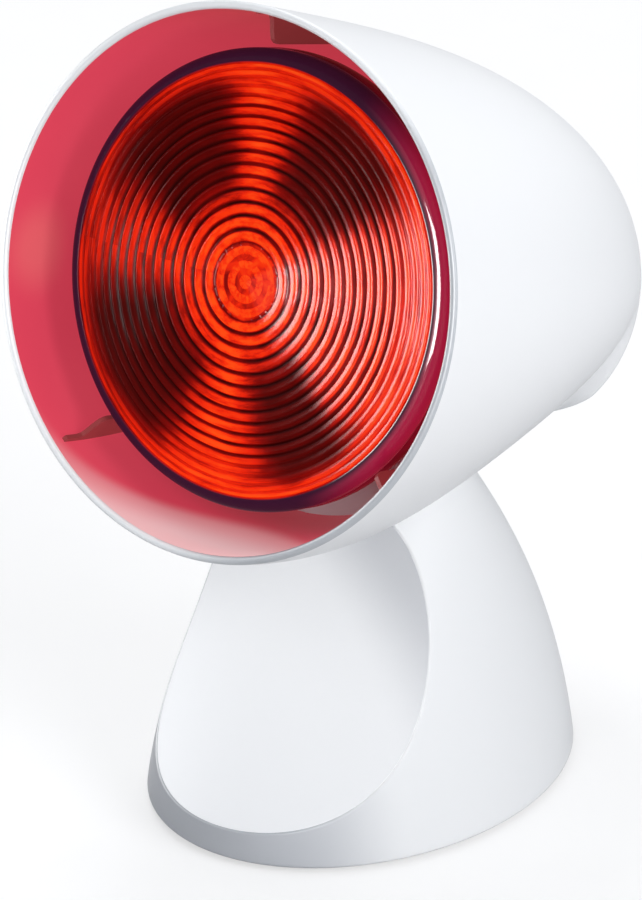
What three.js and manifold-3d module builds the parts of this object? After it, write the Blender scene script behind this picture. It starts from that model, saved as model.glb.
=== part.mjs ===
// Infrared heat lamp: a tilting egg-shaped head with a ringed red bulb, on a domed stand.
// Millimetres, +Z up, the lamp looks along -Y and stands on the plane z = 0.
import * as THREE from 'three';
import Module from 'manifold-3d';

const wasm = await Module();
wasm.setup();

// Head shell, along its own axis: z is forward, y is up, the rim lies in z = 0.
const rimRadius = 72.6;
const headWall = 2.2;
const headDepth = 176;
const headFullness = 2.75;
const headClosing = 0.69;
const axisDrop = 5.2;
const hollowShare = 0.6;
const holderRoom = 43.6;
const hollowDepth = hollowShare * (rimRadius - holderRoom);
const hollowFullAt = 107;
const lipStart = 128;
const lipEnd = 138;
const hollowUpTo = 0.21;
const hollowMost = 0.9;
const coverSeam = 148;
const seamGap = 0.3;
const coverBossRecess = 5;
const webThickness = 2.4;
const bossClearance = 0.5;

// Pose of the head: its pivot over the centre of the foot, and its tilt above level.
const headTilt = 15;
const pivotForward = -4;
const pivotHeight = 60;
const rimShareOverPivot = 0.5;
const axisOverPivot = 69.6;
const rimAheadOfFoot = 63.8;

// Fins between the shade's wall and the bulb, as angles seen from the front.
const finAngles = [94, 229, 320];
const finThickness = 2;
const finFrontAtWall = 12;
const finFrontAtBulb = 15.5;
const finRibFront = 5;
const finRibHeight = 0.9;
const finLength = 42;
const finClearance = 1.2;

// Bulb.
const bulbGap = 9.9;
const bulbRadius = rimRadius - headWall - bulbGap;
const bulbRecess = 16.8;
const lensRimHeight = 5.5;
const lensWidestAt = 2;
const lensCrown = 2.5;
const lensFaceSunk = 0.5;
const lensThickness = 3;
const lensKneeShare = 0.6;
const lensCornerSteps = 4;
const ringPitch = 3.1;
const ringCount = 15;
const ringHeight = 0.8;
const lensBand = 4;
const glassWall = 1.6;
const bulbLength = 133;
const bulbNeckRadius = 22;
const bulbSkirtRadius = 17;
const reflectorDepth = 72;
const reflectorInset = 0.6;
const reflectorShoulder = 6;
const reflectorEase = 1.6;
const reflectorSteps = 6;
const neckEnd = 92;
const skirtWall = 0.5;
const skirtClearance = 0.7;
const capRadius = 13.2;
const capLength = 21;
const capThreadDepth = 0.8;
const capThreadPitch = 3.63;
const capMouthInset = 2.5;
const capPlainLength = 2;
const capWall = 0.8;
const capHemInset = 3;
const capHemWall = 0.6;
const capHemHeight = 1.5;
const contactLength = 6;
const insulatorInset = 3.4;
const insulatorHeight = 3.4;
const insulatorEdge = 1.5;
const contactRadius = 4;
const contactHeight = 1.6;
const contactEdge = 0.2;
const contactSlope = 1;
const stemRadius = 4;
const stemTop = 82;
const stemFlareDepth = 3;
const filamentBehind = 52;
const filamentRadius = 9;
const filamentBow = 3;
const filamentSteps = 6;
const wireRadius = 0.6;
const coilRadius = 0.96;
const wireFoot = { x: 2, y: 0 };
const wireKnee = { x: 6, y: -0.2 };
const wireTip = { x: filamentRadius, y: -0.4 };

// Lampholder and its bracket.
const holderRadius = 20;
const holderWall = 4.6;
const sleeveWall = 0.7;
const sleeveClearance = 0.6;
const holderFloor = 9;
const holderFrontGap = 1;
const holderEdge = 2;
const sleeveLip = 3;
const sleeveFloor = 0.6;
const tongueRoom = 2.2;
const tongueRadius = 1.6;
const tongueDepth = 5;
const tongueThickness = 0.8;
const flangeRadius = 23.5;
const flangeThickness = 3.2;
const bracketThickness = 1.5;
const bracketWidth = 12;
const bracketBehindSeam = 109;
const bracketInset = 8.8;
const ringNutRadius = 24.5;
const ringNutHeight = 4.5;
const ringNutEdge = 1;
const bracketRing = 3;
const postRadius = 4.2;

// Rear cover.
const coverScrewOffset = 1;
const coverBossRadius = 3.6;
const coverScrewSunk = 2.5;
const ventCount = 5;
const ventHeight = 2.6;
const ventEdge = 9;
const spigotLength = 5;
const spigotWall = 1.8;
const spigotClearance = 0.5;

// Stand: a dome of ellipses, cut at the front by a level cylinder.
const footHalfWidth = 54.7;
const footHalfDepth = 69.8;
const widthVanishesAt = 207;
const widthPower = 1.08;
const depthVanishesAt = 116;
const depthPower = 1.9;
const standWall = 2.5;
const standBottom = 1.5;
const scoopHeight = 75.1;
const scoopLowest = 7.9;
const scoopDeepest = 19;
const scoopRadius = scoopHeight - scoopLowest;
const scoopForward = scoopRadius + scoopDeepest;
const panelThickness = 2;
const panelBorder = 1.2;
const shoulderHeight = 84;
const crownRadius = 43;
const crownClearance = 1.2;

// Hinge between the stand and the head.
const pinRadius = 3;
const pinClearance = 0.3;
const pinHeadRadius = 4.6;
const pinHeadHeight = 2;
const lugInner = 11;
const lugThickness = 5;
const lugWidth = 12;
const washerThickness = 0.7;
const washerWidth = 3.2;
const pinEndGap = 0.5;
const runningGap = 0.3;
const supportThickness = 3;
const supportWidth = 16;
const saddleThickness = 2.5;
const saddleClearance = 2.5;
const slotClearance = 1;
const tiltReach = 15;

// Base plate, feet, screws and the inlet for the cord.
const plateThickness = 2.5;
const plateClearance = 0.4;
const footRadius = 6;
const footEdge = 0.4;
const footGlue = 0.1;
const footInset = { x: 24.7, y: 25.8 };
const footSpacing = { x: footHalfWidth - footInset.x, y: footHalfDepth - footInset.y };
const postInset = { x: 16.7, y: 39.8 };
const postSpacing = { x: footHalfWidth - postInset.x, y: footHalfDepth - postInset.y };
const basePostRadius = 4;
const screwRadius = 1.6;
const screwHeadRadius = 3.2;
const screwHeadHeight = 1.8;
const screwDepth = 9;
const screwClearance = 0.3;
const screwTipRoom = 2;
const screwSlotWidth = 0.8;
const screwSlotDepth = 0.6;
const inletHeight = 13;
const inletBore = 3.4;
const bushRadius = 5;
const bushFlange = 7;
const bushFlangeThickness = 1.6;
const bushFlangeEdge = 0.5;
const bushLength = 9;
const padProud = 0.8;
const blockSize = { x: 22, y: 13, z: 11 };
const blockBack = 30;
const terminalRadius = 2.1;
const terminalHeight = 4;
const leadRadius = 1.7;
const leadClearance = 2.5;
const leadStraight = 20;
const leadRise = 8;
const leadTurn = 10;
const leadDropShare = 0.6;

const roundSegments = 36;
const scoopSegments = 60;
const lensSegments = 32;
const holderSegments = 24;
const smallSegments = 16;
const screwSegments = 10;
const bodySections = 12;
const leadSides = 8;
const wireSides = 6;
// How far a cutting tool runs past what it cuts, and half the length of one that goes right through.
const past = 1;
const throughAll = 100;
const degree = Math.PI / 180;

// Materials.
function plastic(color, roughness) {
  return new THREE.MeshStandardMaterial({ color, roughness, metalness: 0 });
}

function metal(color, roughness) {
  return new THREE.MeshStandardMaterial({ color, roughness, metalness: 1 });
}

const whitePlastic = () => plastic(0xf2f3f6, 0.35);
const greyPlastic = () => plastic(0xc9ccd2, 0.5);
const blackRubber = () => plastic(0x26262a, 0.8);
const redGlass = () => plastic(0xe0280c, 0.12);
const darkRedGlass = () => plastic(0x8a0d12, 0.15);
const blackGlass = () => plastic(0x151515, 0.2);
const ceramic = () => plastic(0xece8dc, 0.4);
const silicone = () => plastic(0xd8d2c4, 0.6);
const steel = () => metal(0xb9bcc0, 0.35);
const brass = () => metal(0xc9a24a, 0.3);
const nickel = () => metal(0xcac7bd, 0.3);
const tungsten = () => metal(0x6e6e70, 0.45);

// Solids: a geometry becomes a solid that can be cut and joined, and comes back as a mesh.
function solid(geometry) {
  const flat = geometry.index ? geometry.toNonIndexed() : geometry;
  const position = flat.attributes.position;
  const seen = new Map();
  const vertices = [];
  const corners = [];
  for (let i = 0; i < position.count; i++) {
    const point = [position.getX(i), position.getY(i), position.getZ(i)];
    const key = point.map((value) => Math.round(value * 1e4)).join(' ');
    if (!seen.has(key)) {
      seen.set(key, seen.size);
      vertices.push(...point);
    }
    corners.push(seen.get(key));
  }
  const triangles = [];
  for (let i = 0; i < corners.length; i += 3) {
    const [a, b, c] = corners.slice(i, i + 3);
    if (a !== b && b !== c && c !== a) {
      triangles.push(a, b, c);
    }
  }
  const mesh = new wasm.Mesh({
    numProp: 3,
    vertProperties: Float32Array.from(vertices),
    triVerts: Uint32Array.from(triangles),
  });
  return new wasm.Manifold(mesh);
}

function join(...pieces) {
  return pieces.reduce((sum, piece) => sum.add(piece));
}

function cut(body, ...tools) {
  return tools.reduce((rest, tool) => rest.subtract(tool), body);
}

function piece(name, body, material) {
  const { vertProperties, triVerts } = body.getMesh();
  const geometry = new THREE.BufferGeometry();
  geometry.setAttribute('position', new THREE.BufferAttribute(Float32Array.from(vertProperties), 3));
  geometry.setIndex(new THREE.BufferAttribute(Uint32Array.from(triVerts), 1));
  const mesh = new THREE.Mesh(geometry, material);
  mesh.name = name;
  return mesh;
}

function box(width, depth, height, x = 0, y = 0, z = 0) {
  return solid(new THREE.BoxGeometry(width, depth, height).translate(x, y, z));
}

// Round bodies: a rod between two heights, and a turned profile, both about z.
function rod(radius, from, to, segments = smallSegments) {
  const geometry = new THREE.CylinderGeometry(radius, radius, Math.abs(to - from), segments);
  return solid(geometry.rotateX(Math.PI / 2).translate(0, 0, (from + to) / 2));
}

function crossRod(radius, from, to, y, z, segments = smallSegments) {
  const geometry = new THREE.CylinderGeometry(radius, radius, Math.abs(to - from), segments);
  return solid(geometry.rotateZ(Math.PI / 2).translate((from + to) / 2, y, z));
}

function screwHole(from, to) {
  return rod(screwRadius + screwClearance, from, to, screwSegments);
}

function turned(profile, segments = smallSegments) {
  const points = profile.map(([radius, height]) => new THREE.Vector2(radius, height));
  if (THREE.ShapeUtils.area(points) < 0) {
    points.reverse();
  }
  return solid(new THREE.LatheGeometry(points, segments).rotateX(Math.PI / 2));
}

function tube(points, radius, sides, stepsPerPoint = 3) {
  const path = new THREE.CatmullRomCurve3(points.map((point) => new THREE.Vector3(...point)));
  const section = new THREE.Shape();
  for (let i = 0; i < sides; i++) {
    const turn = 2 * Math.PI * (i / sides);
    const [x, y] = [radius * Math.cos(turn), radius * Math.sin(turn)];
    if (i === 0) {
      section.moveTo(x, y);
    } else {
      section.lineTo(x, y);
    }
  }
  const steps = stepsPerPoint * points.length;
  return solid(new THREE.ExtrudeGeometry(section, { steps, extrudePath: path, bevelEnabled: false }));
}

function smoothStep(value) {
  const t = Math.min(Math.max(value, 0), 1);
  return t * t * (3 - 2 * t);
}

// Head body: an egg of revolution whose axis sags, hollowed underneath as far as the lip.
function eggRadius(behind, radius, depth) {
  return radius * Math.pow(1 - Math.pow(Math.min(behind / depth, 1), headFullness), headClosing);
}

function bendToHead(body) {
  return body.warp((vertex) => {
    const [x, y, z] = vertex;
    const behind = Math.max(-z, 0);
    const length = Math.hypot(x, y);
    const along = behind / headDepth;
    const fromBottom = length > 0 ? -y / length : 0;
    const facing = smoothStep((fromBottom + hollowUpTo) / (1 + hollowUpTo));
    const grown = smoothStep(behind / hollowFullAt);
    const ended = smoothStep((behind - lipStart) / (lipEnd - lipStart));
    const hollow = Math.min(hollowDepth * grown * (1 - ended) * facing, length * hollowMost);
    const scale = length > 0 ? (length - hollow) / length : 1;
    vertex[0] = x * scale;
    vertex[1] = y * scale - 4 * axisDrop * along * (1 - along);
  });
}

function eggBody(radius, depth, front) {
  const profile = [[0, -depth]];
  for (let i = 1; i <= bodySections; i++) {
    const behind = depth * Math.cos((i / bodySections) * Math.PI / 2);
    profile.push([eggRadius(behind, radius, depth), -behind]);
  }
  if (front > 0) {
    profile.push([radius, front]);
  }
  profile.push([0, front]);
  return bendToHead(turned(profile, roundSegments));
}

const innerRadius = rimRadius - headWall;
const innerDepth = headDepth - headWall;
const rimAboveFloor = pivotHeight + axisOverPivot + rimShareOverPivot * rimRadius;

function rimPoint() {
  return new THREE.Vector3(0, -rimAheadOfFoot, rimAboveFloor);
}

// The pivot in the head's own frame.
function pivotInHead() {
  const tilt = headTilt * degree;
  const y = -pivotForward + rimAheadOfFoot;
  const z = pivotHeight - rimAboveFloor;
  return {
    y: y * Math.sin(tilt) + z * Math.cos(tilt),
    z: -y * Math.cos(tilt) + z * Math.sin(tilt),
  };
}

const pivot = pivotInHead();
const lugOuter = lugInner + lugThickness;
const supportInner = lugOuter + washerThickness + 2 * runningGap;
const supportOuter = supportInner + supportThickness;
const innerSupportOuter = lugInner - runningGap;
const innerSupportInner = innerSupportOuter - supportThickness;
const pocketRadius = crownRadius + crownClearance;

// The cover's screws stand between the lampholder and the shell's wall.
const sleeveOuter = capRadius + sleeveClearance + sleeveWall;
const holderBore = sleeveOuter + runningGap;
const holderRear = holderBore + holderWall;
const seamRadius = eggRadius(coverSeam, innerRadius, innerDepth);
const coverScrewSpan = (seamRadius + holderRear) / 2 + coverScrewOffset;

function hollowHead() {
  const outer = eggBody(rimRadius, headDepth, 0);
  const inner = eggBody(innerRadius, innerDepth, past);
  const pocket = crossRod(pocketRadius, -throughAll, throughAll, pivot.y, pivot.z, roundSegments);
  const wallRadius = pocketRadius + headWall;
  const pocketWall = crossRod(wallRadius, -throughAll, throughAll, pivot.y, pivot.z, roundSegments);
  return { outer: cut(outer, pocket), inner: cut(inner, pocketWall), whole: outer };
}

function fin(angle) {
  const wall = rimRadius - headWall / 2;
  const tip = bulbRadius + finClearance;
  const outline = new THREE.Shape();
  const rib = rimRadius - headWall - finRibHeight;
  outline.moveTo(tip, -finFrontAtBulb);
  outline.lineTo(tip, -finFrontAtBulb - finLength);
  outline.lineTo(wall, -finFrontAtBulb - finLength);
  outline.lineTo(wall, -finRibFront);
  outline.lineTo(rib, -finRibFront);
  outline.lineTo(rib, -finFrontAtWall);
  const options = { depth: finThickness, bevelEnabled: false };
  const geometry = new THREE.ExtrudeGeometry(outline, options).translate(0, 0, -finThickness / 2);
  return solid(geometry.rotateX(Math.PI / 2).rotateZ(angle * degree));
}

// A body drawn upright over the pivot, in the head's own frame.
function uprightFromPivot(body) {
  return body.rotate([headTilt - 90, 0, 0]).translate([0, pivot.y, pivot.z]);
}

// A lug hangs from the head into the stand, upright when the head is at its middle tilt.
function lug(side) {
  const from = side * lugInner;
  const to = side * lugOuter;
  const eye = crossRod(lugWidth / 2, from, to, 0, 0);
  const length = pocketRadius + headWall / 2;
  const arm = box(lugThickness, lugWidth, length, (from + to) / 2, 0, length / 2);
  const hole = crossRod(pinRadius + pinClearance, from - side * past, to + side * past, 0, 0);
  return uprightFromPivot(cut(join(eye, arm), hole));
}

// The lead passes between the lugs, through the pocket's wall.
function leadHole() {
  const from = pocketRadius - 2 * headWall;
  return uprightFromPivot(rod(leadRadius + leadClearance, from, pocketRadius + 4 * headWall));
}

const bulbSeam = bulbRecess + lensWidestAt;
const bracketBehindRim = bulbSeam + bracketBehindSeam;
const postFront = bracketBehindRim + bracketThickness + runningGap;
const bracketSpan = eggRadius(postFront, innerRadius, innerDepth) - bracketInset;

function headShell({ outer, inner, whole }) {
  let shell = cut(outer, inner);
  for (const angle of finAngles) {
    shell = join(shell, fin(angle).intersect(whole));
  }
  for (const side of [-1, 1]) {
    const post = rod(postRadius, -postFront, -coverSeam).translate([side * bracketSpan, 0, 0]);
    const bossFront = postFront + coverBossRecess;
    const coverBoss = rod(coverBossRadius, -bossFront, -coverSeam).translate([side * coverScrewSpan, 0, 0]);
    const reach = rimRadius - coverScrewSpan;
    const web = box(reach, webThickness, coverSeam - bossFront, side * (coverScrewSpan + reach / 2), 0,
      -(coverSeam + bossFront) / 2);
    shell = join(shell, join(post, coverBoss, web).intersect(whole), lug(side));
  }
  for (const side of [-1, 1]) {
    const depth = screwDepth + screwTipRoom;
    const postHole = screwHole(-postFront + past, -postFront - depth);
    const coverHole = screwHole(-coverSeam - past, -coverSeam + depth);
    shell = cut(shell, postHole.translate([side * bracketSpan, 0, 0]),
      coverHole.translate([side * coverScrewSpan, 0, 0]));
  }
  const behindSeam = box(2 * throughAll, 2 * throughAll, 2 * throughAll, 0, 0, -coverSeam - throughAll);
  return piece('head_shell', cut(shell, leadHole(), behindSeam), whitePlastic());
}

// The height of the cover's outer face over a cover screw, as a distance behind the rim.
function coverFaceBehindRim() {
  const target = coverScrewSpan / rimRadius;
  return headDepth * Math.pow(1 - Math.pow(target, 1 / headClosing), 1 / headFullness);
}

const coverHeadSeat = coverFaceBehindRim() - screwHeadHeight - coverScrewSunk;

function rearCover({ whole, inner }) {
  const front = coverSeam + seamGap;
  const beforeSeam = box(2 * throughAll, 2 * throughAll, 2 * front, 0, 0, 0);
  let cover = cut(whole, inner, beforeSeam);
  const outside = seamRadius - spigotClearance;
  const from = spigotLength - coverSeam;
  const to = -coverSeam - spigotLength;
  const spigotRing = cut(
    rod(outside, from, to, roundSegments),
    rod(outside - spigotWall, from + past, to - past, roundSegments),
  );
  cover = join(cover, bendSpigot(spigotRing).intersect(whole));
  for (const side of [-1, 1]) {
    const x = side * coverScrewSpan;
    const boss = rod(coverBossRadius, -front, -headDepth).translate([x, 0, 0]).intersect(whole);
    cover = cut(cover, rod(coverBossRadius + bossClearance, 0, -front).translate([x, 0, 0]));
    cover = cut(cover, rod(postRadius + bossClearance, 0, -front).translate([side * bracketSpan, 0, 0]));
    const webRoom = webThickness + 2 * bossClearance;
    cover = cut(cover, box(coverScrewSpan, webRoom, front, x + side * coverScrewSpan / 2, 0, -front / 2));
    cover = join(cover, boss);
    cover = cut(cover, screwHole(0, -headDepth).translate([x, 0, 0]));
    const counterbore = rod(screwHeadRadius + screwClearance, -coverHeadSeat, -headDepth);
    cover = cut(cover, counterbore.translate([x, 0, 0]));
  }
  const ventField = coverScrewSpan - ventEdge;
  const ventPitch = 2 * ventField / (ventCount + 1);
  for (let i = 0; i < ventCount; i++) {
    const y = (i - (ventCount - 1) / 2) * ventPitch - axisDrop / 2;
    const width = 2 * Math.sqrt(ventField ** 2 - y * y);
    cover = cut(cover, box(width, ventHeight, 2 * (headDepth - coverSeam), 0, y, -headDepth));
  }
  return piece('rear_cover', cover, whitePlastic());
}

// The spigot sits round the sagging axis at the seam.
function bendSpigot(ring) {
  const along = coverSeam / headDepth;
  return ring.translate([0, -4 * axisDrop * along * (1 - along), 0]);
}

// Screws: a flat-headed screw pointing along -z from its seat at z = 0.
function screwBody(length) {
  const slot = box(2 * screwHeadRadius + past, screwSlotWidth, 2 * screwSlotDepth, 0, 0, screwHeadHeight);
  const head = rod(screwHeadRadius, 0, screwHeadHeight, smallSegments);
  const body = join(head, rod(screwRadius, screwHeadHeight / 2, -length, screwSegments));
  return cut(body, slot);
}

function coverScrews() {
  return [-1, 1].map((side) => {
    const length = coverHeadSeat - coverSeam + screwDepth;
    const body = screwBody(length).rotate([180, 0, 0]);
    const mesh = piece(side < 0 ? 'cover_screw_left' : 'cover_screw_right', body, steel());
    mesh.position.set(side * coverScrewSpan, 0, -coverHeadSeat - seamGap);
    return mesh;
  });
}

// Bulb, with z = 0 at the seam between the lens and the reflector.
function lensHeight(radius) {
  return lensRimHeight - lensFaceSunk + lensCrown * (1 - (radius / bulbRadius) ** 2);
}

function bulbLens() {
  const face = bulbRadius - lensBand;
  const profile = [[0, lensHeight(0) - lensThickness]];
  const knee = face * lensKneeShare;
  profile.push([knee, lensHeight(knee) - lensThickness]);
  profile.push([face - 1, lensHeight(face) - lensThickness]);
  profile.push([face, 0]);
  profile.push([bulbRadius, 0]);
  const corner = lensRimHeight - lensWidestAt;
  for (let i = 0; i <= lensCornerSteps; i++) {
    const turn = (i / lensCornerSteps) * Math.PI / 2;
    profile.push([bulbRadius - corner + corner * Math.cos(turn), lensWidestAt + corner * Math.sin(turn)]);
  }
  for (let i = 0; i < ringCount; i++) {
    const groove = face - i * ringPitch;
    const ridge = groove - ringPitch / 2;
    profile.push([groove, lensHeight(groove) - ringHeight / 2]);
    profile.push([ridge, lensHeight(ridge) + ringHeight / 2]);
  }
  const centre = face - ringCount * ringPitch;
  profile.push([centre, lensHeight(centre) - ringHeight / 2]);
  profile.push([0, lensHeight(0)]);
  return piece('bulb_lens', turned(profile, lensSegments), redGlass());
}

const capStart = bulbLength - lensHeight(0) - capLength - contactLength;

function reflectorRadius(behind) {
  const rim = bulbRadius - reflectorInset;
  const share = (behind - reflectorShoulder) / (reflectorDepth - reflectorShoulder);
  return Math.sqrt(rim ** 2 - (rim ** 2 - bulbNeckRadius ** 2) * share);
}

function bulbReflector() {
  const outside = [[bulbRadius, -seamGap], [bulbRadius, 1 - reflectorShoulder]];
  for (let i = 0; i <= reflectorSteps; i++) {
    const share = 1 - (1 - i / reflectorSteps) ** reflectorEase;
    const behind = reflectorShoulder + (reflectorDepth - reflectorShoulder) * share;
    outside.push([reflectorRadius(behind), -behind]);
  }
  outside.push([neckRadius(neckEnd), -neckEnd]);
  outside.push([capRadius, -capStart + seamGap]);
  const inside = outside.map(([radius, z]) => [radius - glassWall, z]).reverse();
  const profile = [...outside, ...inside, outside[0]];
  return piece('bulb_reflector', turned(profile, lensSegments), darkRedGlass());
}

// The neck's outer radius, between its end and the cap.
function neckRadius(behind) {
  const share = (behind - neckEnd) / (capStart - seamGap - neckEnd);
  return bulbSkirtRadius + share * (capRadius - bulbSkirtRadius);
}

function bulbSkirt() {
  const rear = skirtClearance - holderFront;
  const profile = [
    [neckRadius(neckEnd) + seamGap, -neckEnd], [neckRadius(rear) + seamGap, -rear],
    [neckRadius(rear) + seamGap + skirtWall, -rear], [neckRadius(neckEnd) + seamGap + skirtWall, -neckEnd],
  ];
  return piece('bulb_skirt', turned([...profile, profile[0]], lensSegments), nickel());
}

function bulbCap() {
  const mouth = capRadius - capMouthInset;
  const root = capRadius - capThreadDepth;
  const profile = [[mouth, -capStart - seamGap], [capRadius, -capStart - seamGap]];
  const turns = Math.floor((capLength - 2 * capPlainLength) / capThreadPitch);
  const threadStart = -capStart - capPlainLength;
  for (let i = 0; i < turns; i++) {
    const z = threadStart - i * capThreadPitch;
    profile.push([root, z]);
    profile.push([capRadius, z - capThreadPitch / 2]);
  }
  const end = -capStart - capLength;
  profile.push([root, end + capHemHeight]);
  profile.push([capRadius - capHemInset, end]);
  profile.push([capRadius - capHemInset - capHemWall, end]);
  profile.push([root - capWall, end + capPlainLength]);
  profile.push([root - capWall, threadStart]);
  profile.push([mouth, threadStart]);
  profile.push(profile[0]);
  return piece('bulb_cap', turned(profile), brass());
}

function bulbInsulator() {
  const start = -capStart - capLength - seamGap;
  const profile = [
    [0, start], [capRadius - insulatorInset, start], [contactRadius + insulatorEdge, start - insulatorHeight],
    [0, start - insulatorHeight],
  ];
  return piece('bulb_insulator', turned(profile), blackGlass());
}

const contactTop = -capStart - capLength - 2 * seamGap - insulatorHeight;
const contactTip = contactTop - contactHeight;

function bulbContact() {
  const profile = [
    [0, contactTip], [contactRadius - contactSlope, contactTip + contactEdge], [contactRadius, contactTop],
    [0, contactTop],
  ];
  return piece('bulb_contact', turned(profile), nickel());
}

// The stem's flare is fused to the inside of the neck.
function bulbStem() {
  const base = -neckEnd - stemFlareDepth;
  const flare = neckRadius(-base) - glassWall - 2 * seamGap;
  const profile = [
    [0, base], [flare, base], [flare, base + glassWall], [stemRadius, base + flare], [stemRadius, -stemTop],
    [0, -stemTop],
  ];
  return piece('bulb_stem', turned(profile), redGlass());
}

function bulbFilament() {
  const points = [];
  for (let i = 0; i <= filamentSteps; i++) {
    const turn = Math.PI * (i / filamentSteps);
    points.push([filamentRadius * Math.cos(turn), filamentBow * Math.sin(turn), -filamentBehind]);
  }
  return piece('bulb_filament', tube(points, coilRadius, wireSides, 2), tungsten());
}

function filamentWire(side) {
  const from = [side * wireFoot.x, wireFoot.y, -stemTop + seamGap];
  const to = [side * wireTip.x, wireTip.y, -filamentBehind - coilRadius - seamGap];
  const middle = [side * wireKnee.x, wireKnee.y, (from[2] + to[2]) / 2];
  const name = side < 0 ? 'filament_wire_left' : 'filament_wire_right';
  return piece(name, tube([from, middle, to], wireRadius, wireSides, 2), steel());
}

// Lampholder, in the bulb's frame.
const holderFront = holderFrontGap - capStart;
const floorTop = contactTip - tongueRoom;

function holderBody() {
  const flangeFront = -bracketBehindSeam - bracketThickness - runningGap;
  const rear = floorTop - holderFloor;
  const tongueHole = tongueRadius + 0.4;
  const profile = [
    [holderBore, holderFront], [holderRadius, holderFront], [holderRadius, flangeFront],
    [flangeRadius, flangeFront], [flangeRadius, flangeFront - flangeThickness],
    [holderRear, flangeFront - flangeThickness], [holderRear, rear + holderEdge],
    [holderRear - holderEdge, rear], [tongueHole, rear], [tongueHole, floorTop],
    [holderBore, floorTop], [holderBore, holderFront],
  ];
  return piece('holder_body', turned(profile, holderSegments), ceramic());
}

function holderSleeve() {
  const inner = sleeveOuter - sleeveWall;
  const front = holderFront - holderFrontGap;
  const rear = floorTop + runningGap;
  const lip = contactRadius + sleeveLip;
  const profile = [
    [inner, front], [sleeveOuter, front], [sleeveOuter, rear], [lip, rear],
    [lip, rear + sleeveFloor], [inner, rear + sleeveFloor], [inner, front],
  ];
  return piece('holder_sleeve', turned(profile), brass());
}

function holderTongue() {
  const top = contactTip - runningGap;
  const foot = floorTop - tongueDepth;
  const under = top - tongueThickness;
  const profile = [
    [0, foot], [tongueRadius, foot], [tongueRadius, under], [contactRadius, under], [contactRadius, top],
    [0, top],
  ];
  return piece('holder_tongue', turned(profile), brass());
}

function ringNut() {
  const rear = -bracketBehindSeam + runningGap;
  const front = rear + ringNutHeight;
  const bore = holderRadius + runningGap;
  const profile = [
    [bore, rear], [ringNutRadius, rear], [ringNutRadius, front - ringNutEdge],
    [ringNutRadius - ringNutEdge, front], [bore, front], [bore, rear],
  ];
  return piece('holder_ring_nut', turned(profile, holderSegments), greyPlastic());
}

function holderBracket() {
  const z = -bracketBehindSeam - bracketThickness / 2;
  const reach = 2 * (bracketSpan + bracketWidth / 2);
  const bar = box(reach, bracketWidth, bracketThickness, 0, 0, z);
  const disc = rod(flangeRadius + bracketRing, z - bracketThickness / 2, z + bracketThickness / 2,
    holderSegments);
  const hole = rod(holderRadius + runningGap, z - bracketWidth, z + bracketWidth, holderSegments);
  let bracket = cut(join(bar, disc), hole);
  for (const side of [-1, 1]) {
    const screwRoom = screwHole(z - bracketWidth, z + bracketWidth);
    bracket = cut(bracket, screwRoom.translate([side * bracketSpan, 0, 0]));
  }
  return piece('holder_bracket', bracket, steel());
}

function bracketScrews() {
  return [-1, 1].map((side) => {
    const name = side < 0 ? 'bracket_screw_left' : 'bracket_screw_right';
    const mesh = piece(name, screwBody(screwDepth), steel());
    mesh.position.set(side * bracketSpan, 0, -bracketBehindSeam + runningGap);
    return mesh;
  });
}

// Stand: ellipses that shrink with height, less the front scoop, with a round crown.
function domeSection(height, inset) {
  const rise = Math.max(height - standBottom, 0);
  return {
    x: footHalfWidth * (1 - Math.pow(rise / widthVanishesAt, widthPower)) - inset,
    y: footHalfDepth * (1 - Math.pow(rise / depthVanishesAt, depthPower)) - inset,
  };
}

const domeTop = pivotHeight + crownRadius + standWall;

function dome(inset, bottom, top) {
  const sections = Math.ceil(bodySections * (top - bottom) / domeTop);
  const base = new THREE.CylinderGeometry(1, 1, 1, roundSegments, sections);
  base.rotateX(Math.PI / 2).translate(0, 0, 0.5);
  const position = base.attributes.position;
  for (let i = 0; i < position.count; i++) {
    const z = bottom + (top - bottom) * position.getZ(i);
    const section = domeSection(z, inset);
    position.setXYZ(i, position.getX(i) * section.x, position.getY(i) * section.y, z);
  }
  return solid(base);
}

function scoop(extra) {
  return crossRod(scoopRadius + extra, -throughAll, throughAll, -scoopForward, scoopHeight, scoopSegments);
}

// What lies under the crown: all below the shoulder, and the crown's cylinder above it.
function underCrown(inset) {
  const top = shoulderHeight - inset;
  const low = box(2 * throughAll, 2 * throughAll, 2 * top, 0, 0, 0);
  const crown = crossRod(crownRadius - inset, -throughAll, throughAll, -pivotForward, pivotHeight,
    roundSegments);
  return join(low, crown);
}

function standOuter() {
  return dome(0, standBottom, domeTop).intersect(underCrown(0));
}

// The seat in the shell's front edge that the front panel lies in, and the panel itself.
function panelLayer(border, front, back) {
  const layer = cut(scoop(back), scoop(front));
  return layer.intersect(dome(border, standBottom, domeTop)).intersect(underCrown(border));
}

function hingeSupports() {
  const y = -pivotForward;
  const bottom = pivotHeight - lugWidth / 2 - saddleClearance;
  const saddle = box(2 * supportOuter, supportWidth, saddleThickness, 0, y, bottom - saddleThickness / 2);
  let supports = cut(saddle, rod(leadRadius + leadClearance, 0, throughAll).translate([0, y, 0]));
  for (const side of [-1, 1]) {
    const outerHeight = pivotHeight + crownRadius - bottom;
    const outer = box(supportThickness, supportWidth, outerHeight,
      side * (supportInner + supportThickness / 2), y, bottom - saddleThickness / 2 + outerHeight / 2);
    const innerHeight = lugWidth / 2 + saddleClearance + saddleThickness / 2 + 2 * pinRadius;
    const inner = box(supportThickness, supportWidth, innerHeight,
      side * (innerSupportInner + supportThickness / 2), y, bottom - saddleThickness / 2 + innerHeight / 2);
    supports = join(supports, outer, inner);
  }
  return cut(supports, crossRod(pinRadius + pinClearance, -throughAll, throughAll, y, pivotHeight));
}

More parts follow.
